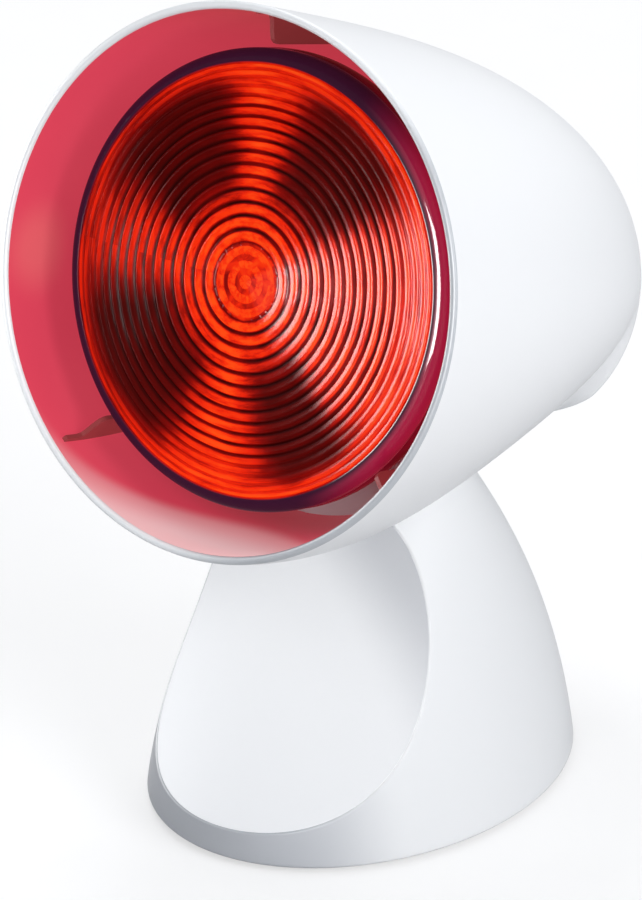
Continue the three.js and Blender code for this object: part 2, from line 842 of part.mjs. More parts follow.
// The slot in the crown through which the lugs swing.
function lugSlot() {
  const width = 2 * (lugOuter + washerThickness);
  const swing = tiltReach * degree;
  const length = 2 * (lugWidth / 2 / Math.cos(swing) + crownRadius * Math.sin(swing) + slotClearance);
  return box(width, length, crownRadius, 0, -pivotForward, pivotHeight + crownRadius);
}

function basePosts() {
  const posts = [];
  for (const x of [-postSpacing.x, postSpacing.x]) {
    for (const y of [-postSpacing.y, postSpacing.y]) {
      posts.push({ x, y });
    }
  }
  return posts;
}

const plateTop = standBottom + plateThickness;
const baseScrewSeat = standBottom + plateThickness / 2;
const inletDepth = domeSection(inletHeight, 0).y;

function standShell() {
  const outer = cut(standOuter(), scoop(0));
  const innerCrown = underCrown(standWall);
  const cavity = dome(standWall, standBottom - past, domeTop - standWall).intersect(innerCrown);
  let shell = cut(outer, cavity);
  shell = cut(shell, panelLayer(panelBorder - seamGap, -past, panelThickness + seamGap));
  shell = join(shell, hingeSupports().intersect(outer));
  for (const { x, y } of basePosts()) {
    const post = rod(basePostRadius, plateTop + runningGap, pivotHeight, screwSegments).translate([x, y, 0]);
    const kept = post.intersect(cut(outer, scoop(panelThickness + past)));
    shell = join(shell, kept);
  }
  const pad = rod(bushFlange + standWall / 2, padProud - bushLength, padProud).rotate([-90, 0, 0]);
  shell = join(shell, pad.translate([0, inletDepth, inletHeight]));
  shell = cut(shell, lugSlot());
  const bore = rod(bushRadius + runningGap, -2 * bushLength, 2 * bushLength).rotate([-90, 0, 0]);
  shell = cut(shell, bore.translate([0, inletDepth, inletHeight]));
  for (const { x, y } of basePosts()) {
    shell = cut(shell, screwHole(0, plateTop + screwDepth + screwTipRoom).translate([x, y, 0]));
  }
  return piece('stand_shell', shell, whitePlastic());
}

function frontPanel() {
  return piece('front_panel', panelLayer(panelBorder, 0, panelThickness), whitePlastic());
}

function basePlate() {
  let plate = dome(standWall + plateClearance, standBottom, plateTop);
  plate = cut(plate, scoop(panelThickness + plateClearance));
  for (const { x, y } of basePosts()) {
    plate = cut(plate, screwHole(0, plateTop + past).translate([x, y, 0]));
    const counterbore = rod(screwHeadRadius + screwClearance, 0, baseScrewSeat);
    plate = cut(plate, counterbore.translate([x, y, 0]));
  }
  return piece('base_plate', plate, greyPlastic());
}

function baseScrews() {
  return basePosts().map(({ x, y }, index) => {
    const mesh = piece(`base_screw_${index + 1}`, screwBody(screwDepth).rotate([180, 0, 0]), steel());
    mesh.position.set(x, y, baseScrewSeat - seamGap);
    return mesh;
  });
}

function rubberFeet() {
  const feet = [];
  for (const x of [-footSpacing.x, footSpacing.x]) {
    for (const y of [-footSpacing.y, footSpacing.y]) {
      const profile = [
        [0, 0], [footRadius - footEdge, 0], [footRadius, footEdge], [footRadius, standBottom - footGlue],
        [0, standBottom - footGlue],
      ];
      const mesh = piece(`rubber_foot_${feet.length + 1}`, turned(profile), blackRubber());
      mesh.position.set(x, y, 0);
      feet.push(mesh);
    }
  }
  return feet;
}

// Hinge pins, one from each side, and the washers that brake the tilt.
function hingePin(side) {
  const head = crossRod(pinHeadRadius, side * (supportOuter + runningGap),
    side * (supportOuter + runningGap + pinHeadHeight), 0, 0);
  const shank = crossRod(pinRadius, side * (innerSupportInner + pinEndGap),
    side * (supportOuter + pinHeadHeight / 2), 0, 0);
  const mesh = piece(side < 0 ? 'hinge_pin_left' : 'hinge_pin_right', join(head, shank), steel());
  mesh.position.set(0, -pivotForward, pivotHeight);
  return mesh;
}

function brakeWasher(side) {
  const from = side * (lugOuter + runningGap);
  const to = from + side * washerThickness;
  const ring = cut(crossRod(pinRadius + washerWidth, from, to, 0, 0),
    crossRod(pinRadius + pinClearance, from - side, to + side, 0, 0));
  const mesh = piece(side < 0 ? 'brake_washer_left' : 'brake_washer_right', ring, steel());
  mesh.position.set(0, -pivotForward, pivotHeight);
  return mesh;
}

// Cord inlet: a bush in the rear wall, open for the cord.
function cordBush() {
  const seat = padProud + runningGap;
  const face = seat + bushFlangeThickness;
  const profile = [
    [inletBore, -bushLength], [bushRadius, -bushLength], [bushRadius, seat], [bushFlange, seat],
    [bushFlange, face - bushFlangeEdge], [bushFlange - bushFlangeEdge, face], [inletBore, face],
    [inletBore, -bushLength],
  ];
  const mesh = piece('cord_bush', turned(profile).rotate([-90, 0, 0]), greyPlastic());
  mesh.position.set(0, inletDepth, inletHeight);
  return mesh;
}

function terminalBlock() {
  const z = plateTop + blockSize.z / 2;
  let block = box(blockSize.x, blockSize.y, blockSize.z, 0, blockBack, z);
  for (const side of [-1, 1]) {
    const x = side * blockSize.x / 4;
    const well = rod(terminalRadius + runningGap, z, z + blockSize.z).translate([x, blockBack, 0]);
    block = cut(block, well);
  }
  return piece('terminal_block', block, ceramic());
}

function terminalScrews() {
  return [-1, 1].map((side) => {
    const name = side < 0 ? 'terminal_screw_left' : 'terminal_screw_right';
    const z = plateTop + blockSize.z / 2 + runningGap;
    const mesh = piece(name, rod(terminalRadius, 0, terminalHeight), brass());
    mesh.position.set(side * blockSize.x / 4, blockBack, z);
    return mesh;
  });
}

// The lead: from the terminal block to the pivot, and from the pivot to the lampholder.
// Its two stretches end far enough from the pivot to stay apart at the ends of the tilt.
const leadEnd = leadRadius * Math.sin(tiltReach * degree) / 2 + seamGap / 2;

function leadInStand() {
  const y = -pivotForward;
  const top = plateTop + blockSize.z + runningGap;
  const points = [
    [0, blockBack, top], [0, blockBack, top + leadRise], [0, (blockBack + y) / 2, (top + pivotHeight) / 2],
    [0, y, pivotHeight - leadStraight], [0, y, pivotHeight - leadStraight / 2],
    [0, y, pivotHeight - leadEnd],
  ];
  return piece('lead_in_stand', tube(points, leadRadius, leadSides), silicone());
}

function leadInHead() {
  const tilt = headTilt * degree;
  const up = (distance) => [0, pivot.y + distance * Math.cos(tilt), pivot.z + distance * Math.sin(tilt)];
  const entry = floorTop - holderFloor / 2 - bulbSeam;
  const under = -holderRear;
  const drop = leadDropShare * (seamRadius - holderRear);
  const points = [
    up(leadEnd), up(crownRadius / 3), up(crownRadius + 2 * leadRadius),
    [0, under - leadTurn, -bracketBehindRim],
    [0, under - drop, entry + leadTurn], [0, under - drop / 2, entry + runningGap],
    [0, under - drop / 4, entry], [0, under - runningGap, entry],
  ];
  return piece('lead_in_head', tube(points, leadRadius, leadSides), silicone());
}

// Assembly.
function buildBulb() {
  const bulb = new THREE.Group();
  bulb.add(bulbLens(), bulbReflector(), bulbSkirt(), bulbCap(), bulbInsulator(), bulbContact());
  bulb.add(bulbStem(), bulbFilament(), filamentWire(-1), filamentWire(1));
  bulb.position.z = -bulbSeam;
  return bulb;
}

function buildHolder() {
  const holder = new THREE.Group();
  holder.add(holderBody(), holderSleeve(), holderTongue(), ringNut(), holderBracket(), ...bracketScrews());
  holder.position.z = -bulbSeam;
  return holder;
}

function buildHead() {
  const head = new THREE.Group();
  const bodies = hollowHead();
  head.add(headShell(bodies), rearCover(bodies), ...coverScrews(), leadInHead());
  head.add(buildBulb(), buildHolder());
  head.position.copy(rimPoint());
  head.rotation.x = (90 - headTilt) * degree;
  return head;
}

function buildStand() {
  const stand = new THREE.Group();
  stand.add(standShell(), frontPanel(), basePlate(), ...baseScrews(), ...rubberFeet());
  stand.add(hingePin(-1), hingePin(1), brakeWasher(-1), brakeWasher(1));
  stand.add(cordBush(), terminalBlock(), ...terminalScrews(), leadInStand());
  return stand;
}

// The origin is the middle of the lamp's outline on the floor.
const group = new THREE.Group();
group.add(buildStand(), buildHead());
const reach = new THREE.Box3().setFromObject(group, true);
group.position.y = -(reach.min.y + reach.max.y) / 2;

export default group;
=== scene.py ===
import math

import bmesh
import bpy
import numpy as np
from mathutils import Matrix, Vector


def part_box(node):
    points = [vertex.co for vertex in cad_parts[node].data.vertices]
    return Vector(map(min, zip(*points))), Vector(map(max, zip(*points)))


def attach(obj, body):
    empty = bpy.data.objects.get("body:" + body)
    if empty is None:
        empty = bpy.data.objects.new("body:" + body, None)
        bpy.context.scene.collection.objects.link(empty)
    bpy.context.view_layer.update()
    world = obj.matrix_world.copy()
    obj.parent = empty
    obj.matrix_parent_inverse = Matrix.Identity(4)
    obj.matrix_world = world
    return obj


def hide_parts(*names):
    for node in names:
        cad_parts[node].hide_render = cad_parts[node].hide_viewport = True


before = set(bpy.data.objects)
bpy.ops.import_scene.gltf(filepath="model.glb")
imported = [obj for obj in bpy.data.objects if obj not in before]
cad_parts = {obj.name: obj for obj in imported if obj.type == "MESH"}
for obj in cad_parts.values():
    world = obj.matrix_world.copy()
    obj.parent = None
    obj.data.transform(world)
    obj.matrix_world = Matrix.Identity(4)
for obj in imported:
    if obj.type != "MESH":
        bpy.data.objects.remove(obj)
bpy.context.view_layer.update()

MM = 0.001

# Sizes of the head, in millimetres, degrees and shares.
RIM_RADIUS = 72.6
RIM_CENTRE = (-63.8, 165.9)
RIM_ROUNDING, SEAM_ROUNDING = 0.95, 0.35
HEAD_TILT = 15.0
HEAD_WALL = 2.2
HEAD_DEPTH = 176.0
HEAD_FULLNESS, HEAD_CLOSING = 2.75, 0.69
HEAD_SEGMENTS = 224
AXIS_DROP = 5.2
HOLLOW_DEPTH, HOLLOW_FULL_AT, HOLLOW_UP_TO = 17.4, 107.0, 0.21
LIP_START, LIP_END = 128.0, 138.0
LIP_RELIEF, RELIEF_FROM, RELIEF_FULL = 3.0, 0.6, 0.9
COVER_SEAM = 148.0
SPIGOT_FRONT, SPIGOT_BACK, SPIGOT_WALL = 143.0, 153.0, 1.8
SEAM_GAP = 0.3
PIVOT = (4.0, 60.0)
POCKET_RADIUS = 44.2
FIN_ANGLES = (94, 229, 320)
FIN_BACK, FIN_HALF = 57.5, 0.65
LUG_INNER, LUG_OUTER, LUG_RADIUS = 11.0, 16.0, 6.0

# Sizes of the bulb and of what holds it.
BULB_LENGTH = 133.0
BULB_SEAM = 18.8
BULB_RADIUS = 60.5
FACE_RADIUS, CENTRE_RADIUS = 56.5, 10.0
RING_COUNT, RING_GRADE, RING_HEIGHT, CREST_PLACE = 16, 0.8, 0.75, 0.3
LENS_MIDDLE, LENS_BULGE, LENS_THICKNESS, LENS_SHOULDER = 7.5, 2.5, 3.0, 3.5
CAP_LENGTH, CONTACT_LENGTH = 21.0, 6.0
REFLECTOR_START, REFLECTOR_LENGTH = 6, 66.0
NECK_RADIUS, NECK_END_RADIUS = 22.0, 17.0
BRACKET_DEPTH, BRACKET_THICKNESS = 109.0, 1.5
POST_SPAN, POST_RADIUS = 38.0, 4.2
COVER_SCREW_SPAN, BOSS_RADIUS = 28.0, 3.6
POST_FRONT = BULB_SEAM + BRACKET_DEPTH + BRACKET_THICKNESS + SEAM_GAP
BOSS_FRONT = POST_FRONT + 5.0
WEB_REACH = 75.0

# Sizes of the stand.
STAND_BOTTOM = 1.5
STAND_WALL = 2.5
DOME_TOP = 105.5
DOME_WIDTH, DOME_WIDTH_HEIGHT, DOME_WIDTH_POWER = 54.7, 207.0, 1.08
DOME_DEPTH, DOME_DEPTH_HEIGHT, DOME_DEPTH_POWER = 69.8, 116.0, 1.9
SHOULDER = 84.0
CROWN_RADIUS = 43.0
SCOOP_RADIUS = 67.2
SCOOP_CENTRE = (-86.2, 75.1)
EDGE_SOFTNESS = 1.2
PANEL_BORDER, PANEL_SEAM, PANEL_THICKNESS = 0.5, 0.04, 2.0
SUPPORT_OUTER, SUPPORT_INNER = (17.3, 20.3), (7.7, 10.7)
SUPPORT_DEPTH = 8
SADDLE_TOP = PIVOT[1] - LUG_RADIUS - 2.5
PLATE_TOP = STAND_BOTTOM + 2.5
TILT_REACH = math.radians(15.0)
INLET_HEIGHT, INLET_PAD_RADIUS, INLET_BORE_RADIUS = 13.0, 8.25, 5.3
BASE_POST_RADIUS, LEAD_BORE_RADIUS = 4.0, 4.0
LUG_SLOT_REACH = 16.7
BEYOND = 100.0

# Sizes of fasteners, and the radii of their holes.
SCREW_LENGTH, SCREW_HEAD, THREAD_PITCH = 9.0, 1.8, 0.8
SCREW_HOLE, COUNTERBORE, PIN_HOLE = 1.9, 3.5, 3.3
SCREW_SEAT = STAND_BOTTOM + 1.25


def corners(x, y):
    """Four places about the middle."""
    return [(side * x, end * y) for side in (-1, 1) for end in (-1, 1)]


POSTS = corners(38.0, 30.0)
FOOT_PLACE = (30.0, 44.0)
foot_low, foot_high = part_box("rubber_foot_1")
STAND_Y = (foot_low.y + foot_high.y) / 2 / MM + FOOT_PLACE[1]

# Camera: the photograph's viewing angle, frame and distance, in radians and metres.
CAMERA_AZIMUTH, CAMERA_ELEVATION = math.radians(36.45), math.radians(24.0)
FOCAL_LENGTH = 4293.0 / 900.0
SENSOR_HEIGHT = 36.0
EYE_AWAY, EYE_RIGHT, EYE_UP = 1.217, -0.0118, 0.088


def direction(azimuth, elevation):
    """Away from the lamp, at an angle from its front and from level."""
    return Vector((math.sin(azimuth) * math.cos(elevation), -math.cos(azimuth) * math.cos(elevation),
                   math.sin(elevation)))


def place_camera():
    away = direction(CAMERA_AZIMUTH, CAMERA_ELEVATION)
    right = Vector((math.cos(CAMERA_AZIMUTH), math.sin(CAMERA_AZIMUTH), 0.0))
    up = away.cross(right)
    data = bpy.data.cameras.new("camera")
    data.sensor_fit = "VERTICAL"
    data.sensor_height = SENSOR_HEIGHT
    data.lens = FOCAL_LENGTH * data.sensor_height
    data.clip_start = 0.05
    camera = bpy.data.objects.new("camera", data)
    eye = away * EYE_AWAY + right * EYE_RIGHT + up * EYE_UP + Vector((0, STAND_Y * MM, 0))
    turn = Matrix((right, up, away)).transposed()
    camera.matrix_world = Matrix.Translation(eye) @ turn.to_4x4()
    bpy.context.scene.collection.objects.link(camera)
    bpy.context.scene.camera = camera


place_camera()


# Node trees.
class Field:
    """A number in a node tree; arithmetic on it adds the nodes that work it out."""

    def __init__(self, graph, socket):
        self.graph = graph
        self.socket = socket

    def __add__(self, other):
        return self.graph.math("ADD", self, other)

    def __sub__(self, other):
        return self.graph.math("SUBTRACT", self, other)

    def __rsub__(self, other):
        return self.graph.math("SUBTRACT", other, self)

    def __mul__(self, other):
        return self.graph.math("MULTIPLY", self, other)

    def __truediv__(self, other):
        return self.graph.math("DIVIDE", self, other)

    def __pow__(self, other):
        return self.graph.math("POWER", self, other)

    def __abs__(self):
        return self.graph.math("ABSOLUTE", self)

    def ramp(self, low, high, to_low=0.0, to_high=1.0):
        """Takes low to to_low and high to to_high, with soft ends."""
        inputs = {"Value": self, "From Min": low, "From Max": high, "To Min": to_low, "To Max": to_high}
        node = self.graph.add("ShaderNodeMapRange", inputs, interpolation_type="SMOOTHSTEP")
        return Field(self.graph, node.outputs["Result"])


class Graph:
    """A node tree, with short calls that add a node and join its sockets."""

    def __init__(self, tree):
        self.tree = tree

    def add(self, kind, inputs=None, **settings):
        node = self.tree.nodes.new(kind)
        for key, value in settings.items():
            setattr(node, key, value)
        for key, value in (inputs or {}).items():
            self.feed(node.inputs[key], value)
        return node

    def feed(self, socket, value):
        """Joins a socket to another, or sets it; a colour's value has no alpha."""
        if isinstance(value, Field):
            value = value.socket
        if isinstance(value, bpy.types.NodeSocket):
            self.tree.links.new(value, socket)
        else:
            socket.default_value = (*value, 1.0) if socket.type == "RGBA" else value

    def set(self, node, **values):
        for label, value in values.items():
            self.feed(node.inputs[label.replace("_", " ")], value)

    def first(self, kind, inputs=None, **settings):
        """The first output of a new node."""
        return self.add(kind, inputs, **settings).outputs[0]

    def math(self, operation, *values, clamp=False):
        return Field(self, self.first("ShaderNodeMath", dict(enumerate(values)), operation=operation,
                                      use_clamp=clamp))

    def measure(self, operation, *values):
        """A number from a vector operation."""
        node = self.add("ShaderNodeVectorMath", dict(enumerate(values)), operation=operation)
        return Field(self, node.outputs[1])

    def noise(self, place, scale, detail, **others):
        inputs = {"Vector": place, "Scale": scale, "Detail": detail, **others}
        return Field(self, self.first("ShaderNodeTexNoise", inputs))

    def mix(self, share, base, other):
        return self.add("ShaderNodeMix", {0: share, 6: base, 7: other}, data_type="RGBA").outputs[2]

    def split(self, vector):
        return [Field(self, part) for part in self.add("ShaderNodeSeparateXYZ", {0: vector}).outputs]

    def combine(self, **parts):
        return self.first("ShaderNodeCombineXYZ", parts)

    def joined(self, *pieces):
        node = self.add("GeometryNodeJoinGeometry")
        for piece in pieces:
            self.tree.links.new(piece, node.inputs[0])
        return node.outputs[0]


def node_group(name, kind, inputs, outputs):
    """A group's graph, a function that gives its inputs by label, and its result node."""
    tree = bpy.data.node_groups.new(name, kind)
    for in_out, sockets in (("INPUT", inputs), ("OUTPUT", outputs)):
        for label, socket in sockets.items():
            tree.interface.new_socket(label, in_out=in_out, socket_type="NodeSocket" + socket)
    graph = Graph(tree)
    source = graph.add("NodeGroupInput")

    def given(label):
        return Field(graph, source.outputs[label])

    return graph, given, graph.add("NodeGroupOutput")


def moulded_skin_group():
    """Faint tone clouds, fine roughness change and the slight orange peel of a moulded surface."""
    graph, given, result = node_group(
        "moulded_skin", "ShaderNodeTree",
        {"Vector": "Vector", "Colour": "Color", "Tone": "Color", "Tone Share": "Float", "Roughness": "Float",
         "Roughness Change": "Float", "Peel Scale": "Float"},
        {"Colour": "Color", "Roughness": "Float", "Height": "Float"})
    place = given("Vector")
    clouds = graph.noise(place, 22.0, 3.0)
    tinted = graph.mix(clouds.ramp(0.35, 0.75) * given("Tone Share"), given("Colour"), given("Tone"))
    handled = graph.noise(place, 70.0, 5.0, Roughness=0.65)
    change = (handled - 0.5) * given("Roughness Change")
    rough = graph.math("ADD", given("Roughness"), change * 4.0, clamp=True)
    peel = graph.noise(place, given("Peel Scale"), 2.0)
    graph.set(result, Colour=tinted, Roughness=rough, Height=peel)
    return graph.tree


SKIN = moulded_skin_group()


def new_material(name):
    material = bpy.data.materials.new(name)
    material.use_nodes = True
    graph = Graph(material.node_tree)
    shader = next(node for node in material.node_tree.nodes if node.type == "BSDF_PRINCIPLED")
    place = graph.add("ShaderNodeTexCoord").outputs["Object"]
    return material, graph, shader, place


def cover_in_skin(graph, shader, place, base, tone, share, roughness, change, peel=900.0, depth=0.000001):
    """Feeds a shader from the shared skin, and returns the skin's colour."""
    inputs = {"Vector": place, "Colour": base, "Tone": tone, "Tone Share": share, "Roughness": roughness,
              "Roughness Change": change, "Peel Scale": peel}
    skin = graph.add("ShaderNodeGroup", inputs, node_tree=SKIN).outputs
    bump = graph.first("ShaderNodeBump", {"Height": skin["Height"], "Distance": depth, "Strength": 1.0})
    graph.set(shader, Base_Color=skin["Colour"], Roughness=skin["Roughness"], Normal=bump)
    return skin["Colour"]


def skinned(name, base, tone, share, roughness, change, peel, depth=0.00001, **constants):
    """A moulded, cast or rolled surface: the shared skin on one shader."""
    material, graph, shader, place = new_material(name)
    cover_in_skin(graph, shader, place, base, tone, share, roughness, change, peel, depth)
    graph.set(shader, **constants)
    return material


def toned_white(name, light, dark, share_of):
    """A housing white with painted shade: it turns to a darker tone where share_of, a function of x, y and z,
    gives 1.
    """
    material, graph, shader, place = new_material(name)
    tone = graph.mix(share_of(*graph.split(place)), light, dark)
    cover_in_skin(graph, shader, place, tone, tone, 0.0, 0.4, 0.015)
    graph.set(shader, Specular_IOR_Level=0.2)
    return material


def painted_shade_under_scoop(x, y, z):
    """Painted shade on the band of the stand between the scoop and the table."""
    return y.ramp(-0.050, -0.078) * z.ramp(0.050, 0.026)


def shaded_side(x, y, z):
    """The upper right of the scoop, which the head keeps the light from."""
    return (x + z * 1.1).ramp(0.068, 0.108)


# Each with its colour, a second tone and its share, roughness and its change, and the peel's scale and depth.
WHITE = skinned("white_housing", (0.785, 0.793, 0.807), (0.77, 0.779, 0.795), 0.5, 0.4, 0.015, 900.0,
                0.000001, Specular_IOR_Level=0.2)
# Painted shade: the stand's darker tone on the band under the scoop, the panel's on the upper right of the
# scoop.
STAND_WHITE = toned_white("white_stand", (0.70, 0.709, 0.723), (0.43, 0.445, 0.475), painted_shade_under_scoop)
PANEL_WHITE = toned_white("white_panel", (0.94, 0.945, 0.955), (0.69, 0.70, 0.725), shaded_side)
GREY = skinned("grey_moulding", (0.52, 0.53, 0.55), (0.45, 0.46, 0.49), 0.6, 0.5, 0.05, 1600.0, 0.00004)
RUBBER = skinned("black_rubber", (0.028, 0.028, 0.03), (0.05, 0.05, 0.052), 0.7, 0.75, 0.08, 1400.0, 0.00003)
CERAMIC = skinned("fired_ceramic", (0.78, 0.74, 0.65), (0.66, 0.61, 0.52), 0.6, 0.45, 0.1, 500.0, 0.00003)
LEAD = skinned("heat_proof_sleeve", (0.66, 0.62, 0.54), (0.55, 0.5, 0.43), 0.6, 0.6, 0.05, 1500.0, 0.00003)
STEEL = skinned("plated_steel", (0.58, 0.59, 0.61), (0.45, 0.46, 0.49), 0.6, 0.3, 0.1, 1200.0, Metallic=1.0)
BRASS = skinned("pressed_brass", (0.72, 0.52, 0.2), (0.55, 0.37, 0.13), 0.6, 0.28, 0.1, 1200.0, Metallic=1.0)
NICKEL = skinned("nickel_plate", (0.66, 0.64, 0.6), (0.52, 0.5, 0.47), 0.6, 0.25, 0.1, 1200.0, Metallic=1.0)
TUNGSTEN = skinned("drawn_tungsten", (0.2, 0.2, 0.21), (0.12, 0.12, 0.13), 0.6, 0.4, 0.1, 3000.0,
                   Metallic=1.0)
BLACK_GLASS = skinned("black_glass", (0.012, 0.012, 0.014), (0.03, 0.03, 0.035), 0.5, 0.14, 0.05, 600.0)
STEM_GLASS = skinned("stem_glass", (0.8, 0.8, 0.82), (0.7, 0.7, 0.72), 0.4, 0.1, 0.05, 500.0,
                     Transmission_Weight=0.8)
# The fins: painted red light and shade, and a glow.
FIN_PAINTED_LIGHT = skinned("reddened_fin", (0.17, 0.026, 0.028), (0.13, 0.02, 0.022), 0.6, 0.35, 0.02, 900.0, 0.000001,
                  Emission_Color=(0.17, 0.024, 0.026), Emission_Strength=0.75, Specular_IOR_Level=0.1)
RUBY_BACK = skinned("ruby_back", (0.24, 0.008, 0.035), (0.10, 0.004, 0.016), 0.8, 0.12, 0.03, 300.0,
                    Coat_Weight=0.3, Coat_Roughness=0.04, Specular_IOR_Level=0.25)


def lamp_plane(graph, place):
    """Right, up and forward of the rim's centre, along the head's own axes, and the three as a vector."""
    turn = math.radians(HEAD_TILT - 90.0)
    centre = Vector((0, (STAND_Y + RIM_CENTRE[0]) * MM, RIM_CENTRE[1] * MM))
    local = graph.first("ShaderNodeMapping", {"Vector": place, "Rotation": (turn, 0, 0),
                                              "Location": -(Matrix.Rotation(turn, 3, "X") @ centre)})
    return *graph.split(local), local


def rim_shade_material():
    """The rim's edge, with painted shade: greyer than the housing, most of all at the lower right."""
    material, graph, shader, place = new_material("rim_edge")
    x, y, z, local = lamp_plane(graph, place)
    tone = graph.mix((x - y * 0.35).ramp(0.015, 0.05), (0.80, 0.815, 0.83), (0.44, 0.46, 0.49))
    cover_in_skin(graph, shader, place, tone, tone, 0.0, 0.4, 0.02)
    return material


# The inside's painted red light also glows, at this strength.
INSIDE_PAINTED_GLOW = 1.0


def inside_material():
    """White plastic with painted light: the red the bulb bathes it in, a pale wedge low down where daylight
    reaches it, painted shade and a painted highlight, all glowing a little.
    """
    material, graph, shader, place = new_material("reddened_inside")
    x, y, z, local = lamp_plane(graph, place)
    behind = z * -1.0
    depth = abs(x - 0.002).ramp(0.0, 0.062, 0.036, 0.0) - behind
    # A painted pool of daylight: the pale wedge low down.
    wedge = depth.ramp(-0.003, 0.005) * depth.ramp(-0.003, 0.022, 0.35, 1.0)
    wedge = wedge * x.ramp(-0.060, -0.012, 0.35, 1.0) * y.ramp(-0.035, -0.050)
    wobble = graph.noise(place, 16.0, 2.0)
    pale = wedge * wobble.ramp(0.2, 0.6, 0.86, 1.0)
    # Painted shade: darker deep down and up top.
    deep_painted_shade = behind.ramp(0.026, 0.046) * y.ramp(-0.030, -0.050)
    upper_painted_shade = y.ramp(0.030, 0.066) * x.ramp(-0.055, 0.008)
    red = graph.mix(wobble.ramp(0.3, 0.7), (0.39, 0.031, 0.056), (0.42, 0.038, 0.063))
    red = graph.mix(upper_painted_shade * 0.9, red, (0.19, 0.024, 0.02))
    red = graph.mix(deep_painted_shade * 0.8, red, (0.17, 0.024, 0.028))
    # A painted highlight: a paler spot on the left wall.
    glow = graph.measure("DISTANCE", local, (-0.0665, -0.006, -0.012)).ramp(0.016, 0.004)
    red = graph.mix(glow * 0.35, red, (0.5, 0.12, 0.11))
    base = graph.mix(pale, red, (0.49, 0.325, 0.33))
    tinted = cover_in_skin(graph, shader, place, base, base, 0.0, 0.34, 0.02)
    graph.set(shader, Emission_Color=tinted, Emission_Strength=INSIDE_PAINTED_GLOW)
    return material


RIM_PAINTED_SHADE = rim_shade_material()
INSIDE_PAINTED_RED_LIGHT = inside_material()
HEAD_SLOTS = (WHITE, INSIDE_PAINTED_RED_LIGHT, FIN_PAINTED_LIGHT)


# Meshes.
def add_object(name, mesh, *materials):
    for material in materials:
        mesh.materials.append(material)
    piece = bpy.data.objects.new(name, mesh)
    bpy.context.scene.collection.objects.link(piece)
    return piece


def shape(name, frame_of, made, *materials):
    """A piece from points and faces, put in a frame of the lamp, with its faces turned outwards."""
    points, faces = made
    mesh = bpy.data.meshes.new(name)
    mesh.from_pydata([tuple(point) for point in frame_of(points)], [], faces)
    work = bmesh.new()
    work.from_mesh(mesh)
    bmesh.ops.remove_doubles(work, verts=work.verts, dist=1e-7)
    bmesh.ops.recalc_face_normals(work, faces=work.faces)
    if work.calc_volume(signed=True) < 0:
        bmesh.ops.reverse_faces(work, faces=work.faces)
    work.to_mesh(mesh)
    work.free()
    return add_object(name, mesh, *materials)


def stacked(rings, poles):
    """Points and faces of rings one over another, closed by two poles or, with none, in a loop."""
    count = len(rings[0])
    last, bottom = (len(rings) - 1) * count, len(rings) * count
    pairs = [(j, (j + 1) % count) for j in range(count)]
    faces = [(i + j, i + k, i + count + k, i + count + j) for i in range(0, last, count) for j, k in pairs]
    if poles:
        faces += [(bottom, k, j) for j, k in pairs]
        faces += [(bottom + 1, last + j, last + k) for j, k in pairs]
    else:
        faces += [(last + j, last + k, k, j) for j, k in pairs]
    return np.vstack([*rings, *poles]), faces


def level_ring(width, depth, height, segments):
    turns = np.arange(segments) * (2 * math.pi / segments)
    return np.column_stack([width * np.cos(turns), depth * np.sin(turns), np.full(segments, height)])


def turned_points(profile, segments):
    """Points and faces of a profile of (radius, z) turned about z; it may start and end at poles."""
    poles = [(0, 0, profile[end][1]) for end in (0, -1) if profile[end][0] == 0]
    body = profile[1:-1] if poles else profile
    return stacked([level_ring(radius, radius, z, segments) for radius, z in body], poles)


def prism_points(outline, low, high):
    """Points and faces of an outline of (y, z) drawn out along x."""
    count = len(outline)
    points = [(x, y, z) for x in (low, high) for y, z in outline]
    faces = [(j, (j + 1) % count, count + (j + 1) % count, count + j) for j in range(count)]
    faces += [tuple(range(count)), tuple(range(2 * count - 1, count - 1, -1))]
    return np.array(points), faces


def block_points(low, high):
    outline = [(low[1], low[2]), (high[1], low[2]), (high[1], high[2]), (low[1], high[2])]
    return prism_points(outline, low[0], high[0])


def rod_points(radius, start, end, segments=48):
    """Points and faces of a rod between two points."""
    start, along = Vector(start), Vector(end) - Vector(start)
    points, faces = turned_points([(0, 0), (radius, 0), (radius, along.length), (0, along.length)], segments)
    turn = Vector((0, 0, 1)).rotation_difference(along).to_matrix()
    return points @ np.array(turn).T + np.array(start), faces


def arc(centre, radius, turns):
    """Points of an outline along a circle."""
    return [(centre[0] + radius * math.cos(t), centre[1] + radius * math.sin(t)) for t in turns]


def quarter_turn(steps):
    return [i / steps * math.pi / 2 for i in range(steps + 1)]


def in_metres(points):
    return np.asarray(points, float) * MM


def in_head(points):
    """From the head's own axes (x, up, forward) to the lamp's, in metres."""
    x, y, z = np.asarray(points, float).T
    tilt = math.radians(90.0 - HEAD_TILT)
    across = y * math.cos(tilt) - z * math.sin(tilt)
    up = y * math.sin(tilt) + z * math.cos(tilt)
    return np.column_stack([x, across + RIM_CENTRE[0] + STAND_Y, up + RIM_CENTRE[1]]) * MM


def in_bulb(points):
    return in_head(np.asarray(points, float) - (0, 0, BULB_SEAM))


def in_stand(points):
    return (np.asarray(points, float) + (0, STAND_Y, 0)) * MM


def placed(piece, frame_of):
    """Moves a piece's points, drawn in metres about the origin, into a frame of the lamp."""
    points = np.empty(len(piece.data.vertices) * 3)
    piece.data.vertices.foreach_get("co", points)
    piece.data.vertices.foreach_set("co", frame_of(points.reshape(-1, 3) / MM).ravel())
    piece.data.update()
    return piece


